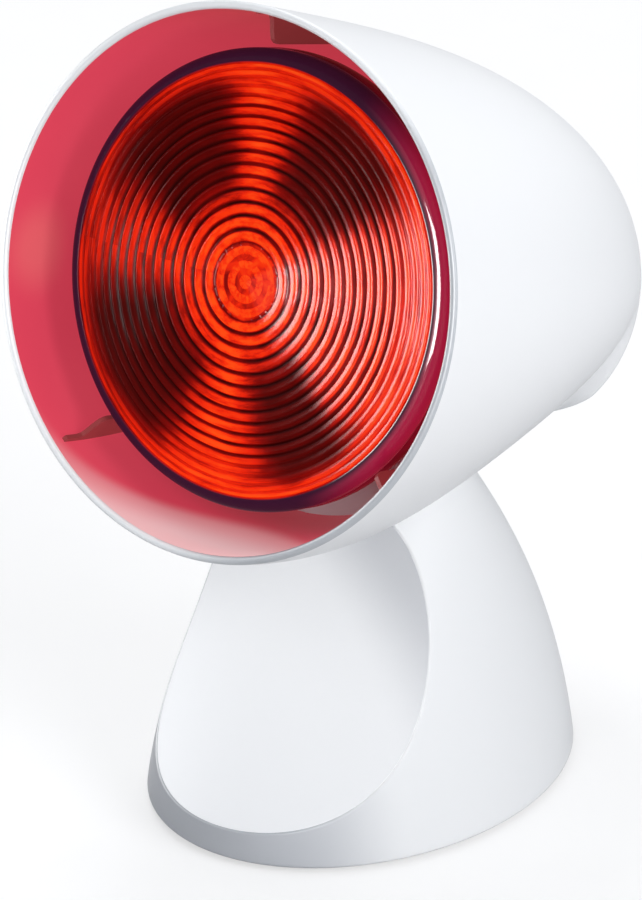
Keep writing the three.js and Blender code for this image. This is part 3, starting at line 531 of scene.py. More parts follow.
def rebuild(piece, modifier):
    """Turns what a modifier makes into the piece's own plain mesh."""
    graph = bpy.context.evaluated_depsgraph_get()
    graph.update()
    mesh = bpy.data.meshes.new_from_object(piece.evaluated_get(graph), depsgraph=graph)
    piece.modifiers.remove(modifier)
    old = piece.data
    piece.data = mesh
    mesh.name = piece.name
    bpy.data.meshes.remove(old)


def carve(piece, operation, *tools):
    """Cuts, joins or keeps what closed tools cover, one after another, and deletes the tools."""
    for tool in tools:
        modifier = piece.modifiers.new("carve", "BOOLEAN")
        modifier.operation = operation
        modifier.solver = "MANIFOLD"
        modifier.object = tool
        rebuild(piece, modifier)
        bpy.data.objects.remove(tool)


def cut(piece, *tools):
    carve(piece, "DIFFERENCE", *tools)


def repaint(piece, material):
    piece.data.materials.clear()
    piece.data.materials.append(material)


def smooth(piece, angle):
    """Smooth shading, with the edges sharper than the angle kept."""
    work = bmesh.new()
    work.from_mesh(piece.data)
    for face in work.faces:
        face.smooth = True
    limit = math.radians(angle)
    for edge in work.edges:
        edge.smooth = len(edge.link_faces) == 2 and edge.calc_face_angle(0.0) < limit
    work.to_mesh(piece.data)
    work.free()


def finish(piece, body, material_slot, *nodes, angle=32.0):
    smooth(piece, angle)
    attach(piece, body)
    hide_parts(*nodes)


def smooth_step(value):
    t = np.clip(value, 0.0, 1.0)
    return t * t * (3 - 2 * t)


# Head: an egg whose axis sags, hollowed underneath as far as the lip.
def sagged(points):
    x, y, z = np.asarray(points, float).T
    behind = np.maximum(-z, 0)
    length = np.hypot(x, y)
    along = behind / HEAD_DEPTH
    from_bottom = -y / np.maximum(length, 1e-6)
    facing = smooth_step((from_bottom + HOLLOW_UP_TO) / (1 + HOLLOW_UP_TO))
    grown = smooth_step(behind / HOLLOW_FULL_AT)
    ended = smooth_step((behind - LIP_START) / (LIP_END - LIP_START))
    lowest = smooth_step((from_bottom - RELIEF_FROM) / (RELIEF_FULL - RELIEF_FROM))
    faded = smooth_step((behind - LIP_END) / (COVER_SEAM - LIP_END))
    relief = LIP_RELIEF * ended * lowest * (1 - faded)
    hollow = np.minimum(HOLLOW_DEPTH * grown * (1 - ended) * facing + relief, length * 0.9)
    scale = (length - hollow) / np.maximum(length, 1e-6)
    return np.column_stack([x * scale, y * scale - 4 * AXIS_DROP * along * (1 - along), z])


def in_sagged_head(points):
    return in_head(sagged(points))


def egg_radius(behind, inset=0.0):
    """The egg's radius at a distance behind the rim, outside or inset by the wall."""
    share = min(behind / (HEAD_DEPTH - inset), 1.0)
    return (RIM_RADIUS - inset) * (1 - share ** HEAD_FULLNESS) ** HEAD_CLOSING


FINE_FROM, TIP_FROM = 118.0, 144.0


def egg_stations(depth):
    """Distances behind the rim: close together by the rim, at the lip and towards the tip."""
    steady = list(np.arange(2.0, FINE_FROM, 2.4)) + list(np.arange(FINE_FROM, TIP_FROM, 0.9))
    closing = [depth - (depth - TIP_FROM) * (1 - i / 26) ** 2 for i in range(26)]
    return steady + closing


def outer_egg(name, start=0.0, end=HEAD_DEPTH):
    """The housing's outside between two distances behind the rim, as a closed body."""
    rounding = RIM_ROUNDING if start == 0.0 else SEAM_ROUNDING
    profile = [(0.0, -start)]
    for turn in quarter_turn(6):
        behind = start + rounding * (1 - math.cos(turn))
        profile.append((egg_radius(behind) - rounding * (1 - math.sin(turn)), -behind))
    profile += [(egg_radius(s), -s) for s in egg_stations(HEAD_DEPTH)
                if start + rounding + 0.4 < s < min(end - 0.9, HEAD_DEPTH - 1e-4)]
    if end < HEAD_DEPTH:
        for turn in quarter_turn(4):
            behind = end - SEAM_ROUNDING * (1 - math.sin(turn))
            profile.append((egg_radius(behind) - SEAM_ROUNDING * (1 - math.cos(turn)), -behind))
    profile.append((0.0, -end))
    return shape(name, in_sagged_head, turned_points(profile, HEAD_SEGMENTS), *HEAD_SLOTS)


def behind_rim(point):
    """How far a point of the lamp, in metres, lies behind the rim's plane."""
    tilt = math.radians(HEAD_TILT)
    rim = Vector((0, RIM_CENTRE[0] + STAND_Y, RIM_CENTRE[1])) * MM
    return (point - rim).dot(Vector((0, math.cos(tilt), -math.sin(tilt))))


def inner_egg():
    """The housing's hollow, rounded outwards at the rim, with painted red light behind it."""
    depth = HEAD_DEPTH - HEAD_WALL
    profile = [(0.0, 3.0), (RIM_RADIUS - HEAD_WALL + RIM_ROUNDING, 3.0)]
    for turn in quarter_turn(6):
        behind = RIM_ROUNDING * (1 - math.cos(turn))
        profile.append((egg_radius(behind, HEAD_WALL) + RIM_ROUNDING * (1 - math.sin(turn)), -behind))
    profile += [(egg_radius(s, HEAD_WALL), -s) for s in egg_stations(depth) if s < depth - 1e-4]
    profile.append((0.0, -depth))
    piece = shape("hollow", in_sagged_head, turned_points(profile, HEAD_SEGMENTS), *HEAD_SLOTS)
    for face in piece.data.polygons:
        face.material_index = 1 if behind_rim(face.center) > RIM_ROUNDING * MM else 0
    return piece


def pivot_rod(name, radius, segments=160):
    """A long rod along the hinge's axis."""
    made = rod_points(radius, (-BEYOND, *PIVOT), (BEYOND, *PIVOT), segments)
    return shape(name, in_stand, made, *HEAD_SLOTS)


def fin(angle):
    """A fin between the shade's wall and the bulb, drawn flat and then stood up at its angle."""
    wall, tip, rib = RIM_RADIUS - HEAD_WALL / 2, BULB_RADIUS + 1.2, RIM_RADIUS - HEAD_WALL - 0.9
    outline = [(tip, -FIN_BACK), (wall, -FIN_BACK), (wall, -5.0), (rib, -5.6), (rib, -10.2), (rib - 0.5, -11.5),
               (rib - 1.6, -12.1), (rib - 4.2, -12.5), (tip + 1.2, -13.2), (tip + 0.3, -14.4), (tip, -15.6)]
    points, faces = prism_points(outline, -FIN_HALF, FIN_HALF)
    side, reach, along = points.T
    turn = math.radians(angle)
    stood = np.column_stack([reach * math.cos(turn) - side * math.sin(turn),
                             reach * math.sin(turn) + side * math.cos(turn), along])
    piece = shape("fin", in_head, (stood, faces), *HEAD_SLOTS)
    for face in piece.data.polygons:
        face.material_index = HEAD_SLOTS.index(FIN_PAINTED_LIGHT)
    return piece


def head_rod(name, radius, x, start, end, segments=40):
    """A rod along the head's axis, between two distances behind the rim."""
    return shape(name, in_head, rod_points(radius, (x, 0, -start), (x, 0, -end), segments), *HEAD_SLOTS)


def web(side, half_thickness, front, back):
    """The web beside a cover screw's boss, or the room for it."""
    low, high = sorted((side * COVER_SCREW_SPAN, side * WEB_REACH))
    made = block_points((low, -half_thickness, -back), (high, half_thickness, -front))
    return shape("web", in_head, made, *HEAD_SLOTS)


def lug(side):
    """The plate that hangs from the head to the hinge's pin, round at its lower end."""
    reach = PIVOT[1] + POCKET_RADIUS + HEAD_WALL / 2
    outline = arc(PIVOT, LUG_RADIUS, np.linspace(math.pi, 2 * math.pi, 24))
    outline += [(PIVOT[0] + LUG_RADIUS, reach), (PIVOT[0] - LUG_RADIUS, reach)]
    low, high = sorted((side * LUG_INNER, side * LUG_OUTER))
    return shape("lug", in_stand, prism_points(outline, low, high), *HEAD_SLOTS)


def one_slot_each(piece):
    """Keeps one slot for each material that a piece's faces use."""
    mesh = piece.data
    used = [mesh.materials[face.material_index] for face in mesh.polygons]
    kept = list(dict.fromkeys(used))
    mesh.materials.clear()
    for material in kept:
        mesh.materials.append(material)
    mesh.polygons.foreach_set("material_index", [kept.index(material) for material in used])


def paint_rim(piece):
    """The rim's rounded front edge is a shade greyer than the housing: painted shade."""
    slots = piece.data.materials
    slots.append(RIM_PAINTED_SHADE)
    for face in piece.data.polygons:
        if slots[face.material_index] == WHITE and behind_rim(face.center) < RIM_ROUNDING * 0.9 * MM:
            face.material_index = len(slots) - 1


def build_head_housing():
    housing, hollow = outer_egg("head_housing", end=COVER_SEAM), inner_egg()
    cut(hollow, pivot_rod("pocket_wall", POCKET_RADIUS + HEAD_WALL))
    for side in (-1, 1):
        cut(hollow, head_rod("post", POST_RADIUS, side * POST_SPAN, POST_FRONT, COVER_SEAM),
            head_rod("boss", BOSS_RADIUS, side * COVER_SCREW_SPAN, BOSS_FRONT, COVER_SEAM),
            web(side, 1.2, BOSS_FRONT, COVER_SEAM))
    for angle in FIN_ANGLES:
        cut(hollow, fin(angle))
    cut(housing, hollow, pivot_rod("pocket", POCKET_RADIUS))
    for side in (-1, 1):
        carve(housing, "UNION", lug(side))
        cut(housing, head_rod("post_hole", SCREW_HOLE, side * POST_SPAN, POST_FRONT - 1, POST_FRONT + 11, 24),
            head_rod("cover_hole", SCREW_HOLE, side * COVER_SCREW_SPAN, COVER_SEAM - 9, COVER_SEAM + 1, 24))
    cut(housing, pivot_rod("pin_hole", PIN_HOLE, 48))
    one_slot_each(housing)
    paint_rim(housing)
    finish(housing, "head", "white_plastic", "head_shell")


def geometry_tree(name, *numbers, **others):
    """A tree that takes a mesh, numbers, others given as label=kind and a material, and gives a mesh."""
    inputs = {"Geometry": "Geometry", **dict.fromkeys(numbers, "Float"), **others, "Material": "Material"}
    return node_group(name, "GeometryNodeTree", inputs, {"Geometry": "Geometry"})


def close_tree(graph, result, geometry, material):
    """Ends a tree: real copies, each with its material."""
    real = graph.first("GeometryNodeRealizeInstances", {"Geometry": geometry})
    painted = graph.first("GeometryNodeSetMaterial", {"Geometry": real, "Material": material})
    graph.set(result, Geometry=painted)
    return graph.tree


def grow(piece, tree, **inputs):
    """Runs a geometry tree on a piece with its inputs set by label, and keeps the plain mesh."""
    modifier = piece.modifiers.new("grow", "NODES")
    modifier.node_group = tree
    names = {item.name: item.identifier for item in tree.interface.items_tree if item.in_out == "INPUT"}
    for label, value in inputs.items():
        modifier[names[label.replace("_", " ")]] = value
    rebuild(piece, modifier)


def vent_tree():
    """Round-ended slots in a round field, as prisms that cut the rear cover."""
    graph, given, result = geometry_tree("vent_slots", "Field Radius", "Pitch", "Slot Height", "Depth")
    height = given("Slot Height")
    slots = []
    for place in range(-2, 3):
        off = given("Pitch") * float(place)
        width = graph.math("SQRT", given("Field Radius") ** 2.0 - abs(off) ** 2.0) * 2.0
        outline = graph.first("GeometryNodeCurvePrimitiveQuadrilateral", {"Width": width, "Height": height})
        rounded = graph.first("GeometryNodeFilletCurve", {"Curve": outline, "Count": 8, "Limit Radius": True,
                                                          "Radius": height * 0.49}, mode="POLY")
        plate = graph.first("GeometryNodeFillCurve", {"Curve": rounded}, mode="NGONS")
        prism = graph.first("GeometryNodeExtrudeMesh", {
            "Mesh": plate, "Offset": graph.combine(Z=given("Depth")), "Individual": False})
        closed = graph.joined(prism, graph.first("GeometryNodeFlipFaces", {"Mesh": plate}))
        merged = graph.first("GeometryNodeMergeByDistance", {"Geometry": closed, "Distance": 1e-6})
        moved = {"Geometry": merged, "Translation": graph.combine(Y=off)}
        slots.append(graph.first("GeometryNodeTransform", moved))
    return close_tree(graph, result, graph.joined(*slots), given("Material"))


COVER_FACE = HEAD_DEPTH * (1 - (COVER_SCREW_SPAN / RIM_RADIUS) ** (1 / HEAD_CLOSING)) ** (1 / HEAD_FULLNESS)
COVER_HEAD_SEAT = COVER_FACE - SCREW_HEAD - 2.5


def build_spigot():
    """The ring on the cover that fits into the head, with room for the posts, bosses and webs."""
    along = COVER_SEAM / HEAD_DEPTH
    outside = egg_radius(COVER_SEAM, HEAD_WALL) - 0.5
    low = -4 * AXIS_DROP * along * (1 - along)
    inside = outside - SPIGOT_WALL
    ring = [(outside, -SPIGOT_FRONT), (outside, -SPIGOT_BACK), (inside, -SPIGOT_BACK), (inside, -SPIGOT_FRONT)]
    made = turned_points(ring, HEAD_SEGMENTS)
    spigot = shape("spigot", lambda points: in_head(points + (0, low, 0)), made, *HEAD_SLOTS)
    front = COVER_SEAM + SEAM_GAP
    for side in (-1, 1):
        cut(spigot, head_rod("boss_room", BOSS_RADIUS + 0.5, side * COVER_SCREW_SPAN, BEYOND, front),
            head_rod("post_room", POST_RADIUS + 0.5, side * POST_SPAN, BEYOND, front),
            web(side, 1.7, BEYOND, front))
    return spigot


def build_rear_housing():
    cover, hollow = outer_egg("rear_housing", COVER_SEAM + SEAM_GAP), inner_egg()
    for side in (-1, 1):
        cut(hollow, head_rod("boss", BOSS_RADIUS, side * COVER_SCREW_SPAN, COVER_SEAM + SEAM_GAP, HEAD_DEPTH))
    cut(cover, hollow)
    carve(cover, "UNION", build_spigot())
    for side in (-1, 1):
        cut(cover, head_rod("screw_hole", SCREW_HOLE, side * COVER_SCREW_SPAN, BEYOND, 2 * BEYOND, 24),
            head_rod("counterbore", COUNTERBORE, side * COVER_SCREW_SPAN, COVER_HEAD_SEAT, 2 * BEYOND, 48))
    slots = shape("vent_slots", in_metres, ([(0, 0, 0), (0, 1, 0), (1, 0, 0)], [(0, 1, 2)]), WHITE)
    grow(slots, vent_tree(), Field_Radius=0.019, Pitch=0.0064, Slot_Height=0.0026, Depth=0.05, Material=WHITE)
    cut(cover, placed(slots, lambda points: in_head(points + (0, -AXIS_DROP / 2, -HEAD_DEPTH - 20))))
    one_slot_each(cover)
    finish(cover, "head", "white_plastic", "rear_cover")


build_head_housing()
build_rear_housing()


# Stand: a dome of ellipses that the scoop cuts at the front, with a round crown.
def dome_axes(height, inset=0.0):
    rise = max(height - STAND_BOTTOM, 0.0)
    return (DOME_WIDTH * (1 - (rise / DOME_WIDTH_HEIGHT) ** DOME_WIDTH_POWER) - inset,
            DOME_DEPTH * (1 - (rise / DOME_DEPTH_HEIGHT) ** DOME_DEPTH_POWER) - inset)


INLET_DEPTH = dome_axes(INLET_HEIGHT)[1]


def scoop_front(height):
    """How far forward the scoop's face stands at a height, or nothing below the scoop."""
    reach = SCOOP_RADIUS ** 2 - (height - SCOOP_CENTRE[1]) ** 2
    return SCOOP_CENTRE[0] + math.sqrt(reach) if reach > 0 else None


CHORD_COLUMNS, ARC_COLUMNS = 34, 78
LEAST_CORNER = 0.3


def stand_columns(height, width, depth):
    """The angles of a row's columns from the front, crowded at the corner between scoop and dome."""
    corner = LEAST_CORNER
    front = scoop_front(height)
    if front is not None and -front < depth:
        across = width * math.sqrt(1 - (front / depth) ** 2)
        corner = max(corner, math.atan2(across, -front))
    chord = [corner * (1 - (1 - i / CHORD_COLUMNS) ** 1.9) for i in range(CHORD_COLUMNS)]
    rest = [corner + (math.pi - corner) * (i / ARC_COLUMNS) ** 1.5 for i in range(ARC_COLUMNS + 1)]
    half = np.array(chord + rest)
    return np.concatenate([half, -half[-2:0:-1]])


def soft_least(first, second, softness):
    share = np.clip(0.5 + 0.5 * (second - first) / softness, 0, 1)
    return second * (1 - share) + first * share - softness * share * (1 - share)


def stand_row(height, inset=0.0):
    """A row of points round the stand at a height, in the foot's frame."""
    width, depth = dome_axes(height, inset)
    angles = stand_columns(height, width, depth)
    side, ahead = np.sin(angles), -np.cos(angles)
    reach = 1 / np.sqrt((side / width) ** 2 + (ahead / depth) ** 2)
    front = scoop_front(height)
    if front is not None:
        to_scoop = np.where(ahead < -1e-3, front / np.minimum(ahead, -1e-3), 1e4)
        reach = soft_least(reach, to_scoop, EDGE_SOFTNESS)
    return np.column_stack([side * reach, ahead * reach, np.full(len(angles), height)])


def stand_shape(name, made):
    return shape(name, in_stand, made, STAND_WHITE)


def stand_body():
    rounding = 0.8
    rows = [stand_row(STAND_BOTTOM + rounding * (1 - math.cos(t)), rounding * (1 - math.sin(t)))
            for t in np.linspace(0, math.pi / 2, 6)]
    heights = np.concatenate([np.arange(*steps) for steps in (
        (3.0, 8.8, 0.8), (8.9, 11.6, 0.07), (11.65, 14.0, 0.15), (14.2, 20.0, 0.4), (20.6, DOME_TOP, 1.0))])
    rows += [stand_row(height) for height in heights]
    return stand_shape("stand_housing", stacked(rows, [(0, 0, STAND_BOTTOM), (0, 0, heights[-1])]))


def dome_body(name, inset, low, high, segments=192, step=1.5):
    """The dome alone, inset from its outside, without the scoop."""
    heights = np.linspace(low, high, max(int((high - low) / step), 1) + 1)
    rings = [level_ring(*dome_axes(height, inset), height, segments) for height in heights]
    return stand_shape(name, stacked(rings, [(0, 0, low), (0, 0, high)]))


def under_crown(name, inset):
    """All below the shoulder, and the crown's round top above it."""
    shoulder, radius = SHOULDER - inset, CROWN_RADIUS - inset
    start = math.asin((shoulder - PIVOT[1]) / radius)
    outline = [(-150, -5), (150, -5), (150, shoulder)]
    outline += arc(PIVOT, radius, np.linspace(start, math.pi - start, 60))
    outline.append((-150, shoulder))
    return stand_shape(name, prism_points(outline, -150, 150))


def scoop_layer(name, near, far):
    """A layer of the scoop's curve, between two depths under its face."""
    turns = np.linspace(-1.75, 0.75, 300)
    outline = arc(SCOOP_CENTRE, SCOOP_RADIUS + near, turns)
    outline += arc(SCOOP_CENTRE, SCOOP_RADIUS + far, turns[::-1])
    return stand_shape(name, prism_points(outline, -BEYOND, BEYOND))


def stand_block(name, low, high):
    return stand_shape(name, block_points(low, high))


def stand_rod(name, radius, start, end, segments=48):
    return stand_shape(name, rod_points(radius, start, end, segments))


def hinge_support_blocks():
    """The saddle under the hinge and the plates that hold its pins."""
    back, front = PIVOT[0] + SUPPORT_DEPTH, PIVOT[0] - SUPPORT_DEPTH
    outside = SUPPORT_OUTER[1]
    blocks = [stand_block("saddle", (-outside, front, SADDLE_TOP - 2.5), (outside, back, SADDLE_TOP))]
    for side in (-1, 1):
        for (near, far), top in ((SUPPORT_OUTER, PIVOT[1] + CROWN_RADIUS), (SUPPORT_INNER, PIVOT[1] + 6.0)):
            low, high = sorted((side * near, side * far))
            blocks.append(stand_block("support", (low, front, SADDLE_TOP - 1.2), (high, back, top)))
    return blocks


def inlet_rod(name, radius, start, end):
    """A rod along the cord's inlet, between two distances from the dome's face."""
    ends = [(0, INLET_DEPTH + along, INLET_HEIGHT) for along in (start, end)]
    return stand_rod(name, radius, *ends, 64)


def build_stand_housing():
    housing = stand_body()
    carve(housing, "INTERSECT", under_crown("under_crown", 0))
    cavity = dome_body("cavity", STAND_WALL, 0.5, DOME_TOP - STAND_WALL)
    carve(cavity, "INTERSECT", under_crown("under_crown", STAND_WALL))
    cut(cavity, *hinge_support_blocks())
    for x, y in POSTS:
        cut(cavity, stand_rod("post", BASE_POST_RADIUS, (x, y, PLATE_TOP + SEAM_GAP), (x, y, PIVOT[1]), 32))
    seat = scoop_layer("seat", -1.0, PANEL_THICKNESS + SEAM_GAP)
    carve(seat, "INTERSECT", dome_body("seat_border", PANEL_BORDER - PANEL_SEAM, STAND_BOTTOM, DOME_TOP),
          under_crown("seat_top", PANEL_BORDER - PANEL_SEAM))
    clear = scoop_layer("post_clearance", 0.0, PANEL_THICKNESS + 1.0)
    carve(clear, "INTERSECT", dome_body("clear_border", STAND_WALL, STAND_BOTTOM, PIVOT[1] + 5))
    cut(housing, cavity, seat, clear)
    carve(housing, "UNION", inlet_rod("inlet_pad", INLET_PAD_RADIUS, -8.2, 0.8))
    swing = LUG_RADIUS / math.cos(TILT_REACH) + CROWN_RADIUS * math.sin(TILT_REACH) + 1.0
    cut(housing, stand_block("lug_slot", (-LUG_SLOT_REACH, PIVOT[0] - swing, PIVOT[1] + CROWN_RADIUS * 0.5),
                             (LUG_SLOT_REACH, PIVOT[0] + swing, PIVOT[1] + CROWN_RADIUS * 1.5)),
        inlet_rod("inlet_bore", INLET_BORE_RADIUS, -18, 18),
        stand_rod("pin_bore", PIN_HOLE, (-22, *PIVOT), (22, *PIVOT)),
        stand_rod("lead_bore", LEAD_BORE_RADIUS, (0, PIVOT[0], 40), (0, PIVOT[0], SADDLE_TOP + 1)))
    for x, y in POSTS:
        cut(housing, stand_rod("post_hole", SCREW_HOLE, (x, y, 0), (x, y, PLATE_TOP + 11), 24))
    finish(housing, "stand", "white_plastic", "stand_shell")


def build_scoop_panel():
    panel = scoop_layer("scoop_panel", 0.0, PANEL_THICKNESS)
    carve(panel, "INTERSECT", dome_body("panel_border", PANEL_BORDER, STAND_BOTTOM, DOME_TOP),
          under_crown("panel_top", PANEL_BORDER))
    repaint(panel, PANEL_WHITE)
    finish(panel, "stand", "white_plastic", "front_panel")


def build_base_plate():
    plate = dome_body("floor_plate", STAND_WALL + 0.4, STAND_BOTTOM, PLATE_TOP, step=2.5)
    for x, y in POSTS:
        cut(plate, stand_rod("screw_hole", SCREW_HOLE, (x, y, 0), (x, y, PLATE_TOP + 1), 24),
            stand_rod("counterbore", COUNTERBORE, (x, y, 0), (x, y, SCREW_SEAT)))
    repaint(plate, GREY)
    finish(plate, "stand", "grey_plastic", "base_plate")


build_stand_housing()
build_scoop_panel()
build_base_plate()


# Feet, screws and the cord inlet.
def slotted_screw(length):
    """A pan-headed screw along -z from its seat, with rolled rings for a thread and a slot."""
    profile = [(0, SCREW_HEAD), (1.6, 1.78), (2.5, 1.66), (2.95, 1.4), (3.2, 1.0), (3.2, 0.25), (3.1, 0.0),
               (1.45, 0.0)]
    depth = THREAD_PITCH
    while depth < length - 2 * THREAD_PITCH:
        profile += [(1.3, -depth), (1.6, -depth - 0.35), (1.6, -depth - 0.45), (1.3, -depth - THREAD_PITCH)]
        depth += THREAD_PITCH
    profile += [(1.3, -length + THREAD_PITCH), (0.6, -length + 0.1), (0, -length)]
    screw = shape("screw", in_metres, turned_points(profile, 28), STEEL)
    cut(screw, shape("slot", in_metres, block_points((-3.7, -0.4, 1.2), (3.7, 0.4, 2.4)), STEEL))
    return screw


def rubber_foot():
    """A foot with a rounded edge and a shallow dish in its underside."""
    profile = [(0, 0.35), (2.6, 0.35), (3.0, 0.0), (5.4, 0.0), (5.78, 0.12), (6.0, 0.45), (6.0, 1.1),
               (5.9, 1.4), (0, 1.4)]
    return shape("foot", in_metres, turned_points(profile, 48), RUBBER)


def copies_tree():
    """Copies of one small piece on a carrier's points, turned alike but for a random spin."""
    graph, given, result = geometry_tree("copies_on_points", "Uneven Turn", Original="Object", Turn="Vector",
                                         Seed="Int")
    original = graph.add("GeometryNodeObjectInfo", {"Object": given("Original")})
    odd = graph.add("FunctionNodeRandomValue", {2: -1.0, "Seed": given("Seed")}, data_type="FLOAT")
    own = Field(graph, odd.outputs[1]) * given("Uneven Turn")
    turned = graph.first("GeometryNodeInstanceOnPoints", {
        "Points": given("Geometry"), "Instance": original.outputs["Geometry"], "Rotation": given("Turn")})
    spun = graph.first("GeometryNodeRotateInstances", {"Instances": turned, "Rotation": graph.combine(Z=own)})
    return close_tree(graph, result, spun, given("Material"))


COPIES = copies_tree()


def copies(name, original, places, turn, body, material_slot, nodes, uneven=0.0, seed=5):
    """One mesh of copies of a small piece at places given in metres."""
    mesh = bpy.data.meshes.new(name)
    mesh.from_pydata([tuple(place) for place in places], [], [])
    carrier = add_object(name, mesh)
    grow(carrier, COPIES, Original=original, Turn=turn, Uneven_Turn=uneven, Seed=seed,
         Material=original.data.materials[0])
    bpy.data.objects.remove(original)
    finish(carrier, body, material_slot, *nodes)


def build_fasteners():
    seat = SCREW_SEAT - SEAM_GAP
    copies("floor_screws", slotted_screw(SCREW_LENGTH), in_stand([(x, y, seat) for x, y in POSTS]),
           (math.pi, 0, 0), "stand", "steel", ["base_screw_%d" % i for i in (1, 2, 3, 4)], 2.0, 3)
    feet = in_stand([(x, y, 0.0) for x, y in corners(*FOOT_PLACE)])
    copies("standing_feet", rubber_foot(), feet, (0, 0, 0), "stand", "black_rubber",
           ["rubber_foot_%d" % i for i in (1, 2, 3, 4)])
    forward = math.radians(90.0 - HEAD_TILT)
    cover = in_head([(side * COVER_SCREW_SPAN, 0, -COVER_HEAD_SEAT - SEAM_GAP) for side in (-1, 1)])
    copies("cover_screws", slotted_screw(COVER_HEAD_SEAT - COVER_SEAM + SCREW_LENGTH), cover,
           (forward + math.pi, 0, 0), "head", "steel", ["cover_screw_left", "cover_screw_right"], 1.2, 8)
    bracket = in_bulb([(side * POST_SPAN, 0, -BRACKET_DEPTH + SEAM_GAP) for side in (-1, 1)])
    copies("bracket_screws", slotted_screw(SCREW_LENGTH), bracket, (forward, 0, 0), "head", "steel",
           ["bracket_screw_left", "bracket_screw_right"], 1.2, 4)


def build_inlet_bush():
    """The cord's inlet: a bush with a rounded flange and a flared mouth."""
    seat, face = 1.1, 2.7
    profile = [(3.4, -9.0), (4.75, -9.0), (5.0, -8.7), (5.0, seat), (6.8, seat), (7.0, seat + 0.2),
               (7.0, face - 0.6), (6.85, face - 0.25), (6.5, face), (5.9, face), (5.7, face - 0.25),
               (5.3, face - 0.25), (5.1, face), (4.1, face), (3.7, face - 0.15), (3.45, face - 0.5),
               (3.4, face - 0.9)]
    points, faces = turned_points(profile, 96)
    backwards = points[:, [0, 2, 1]] * (-1, 1, 1)
    bush = shape("inlet_bush", in_stand, (backwards + (0, INLET_DEPTH, INLET_HEIGHT), faces), GREY)
    finish(bush, "stand", "grey_plastic", "cord_bush")


build_fasteners()
build_inlet_bush()


# Bulb.
def lens_height(radius):
    return LENS_MIDDLE - LENS_BULGE + LENS_BULGE * (1 - (radius / BULB_RADIUS) ** 2)


def ring_phase(graph, radius, face, centre, count, grade):
    """How far inwards a radius lies, as a share of the ringed face, and how far through its ring."""
    inwards = (face - radius) / (face - centre)
    return inwards, graph.math("FRACT", graph.math("MAXIMUM", inwards, 0.0) ** grade * count)


def ring_tree():
    """Presses concentric rings, with narrow grooves between them, into a face that looks along z."""
    graph, given, result = geometry_tree("pressed_rings", "Face Radius", "Centre Radius", "Ring Count",
                                         "Grade", "Ring Height", "Crest Place", "Front From")
    x, y, z = graph.split(graph.first("GeometryNodeInputPosition"))
    radius = graph.measure("LENGTH", graph.combine(X=x, Y=y))
    face, centre, crest_place = given("Face Radius"), given("Centre Radius"), given("Crest Place")
    inwards, phase = ring_phase(graph, radius, face, centre, given("Ring Count"), given("Grade"))
    steep = graph.math("SMOOTH_MIN", phase / crest_place, 1.0, 0.25)
    gentle = graph.math("MAXIMUM", (phase - crest_place) / (1.0 - crest_place), 0.0) ** 1.6
    crest = steep - gentle - 0.5
    where = graph.math("LESS_THAN", radius, face) * graph.math("GREATER_THAN", radius, centre)
    where = where * graph.math("GREATER_THAN", z, given("Front From"))
    deeper = given("Ring Height") * graph.math("MINIMUM", inwards * 2.2 + 0.4, 1.0)
    pressed = graph.first("GeometryNodeSetPosition", {"Geometry": given("Geometry"),
                                                      "Offset": graph.combine(Z=crest * deeper * where)})
    return close_tree(graph, result, pressed, given("Material"))


# Dark sectors of the mirrored face, painted reflections: the middle of each in radians, half its width in
# degrees.
DARK_SECTORS = [(math.radians(middle), half) for middle, half in ((57, 23), (132, 27), (222, 30), (302, 19))]
# Painted light: tones of the glass, from unlit to brightly lit.
RUBY_TONES = ((0.0, (0.022, 0.0004, 0.0003)), (0.3, (0.20, 0.002, 0.001)), (0.62, (0.68, 0.014, 0.002)),
              (0.85, (0.84, 0.034, 0.003)), (1.0, (0.90, 0.065, 0.005)))
RUBY_GLOW = 0.36


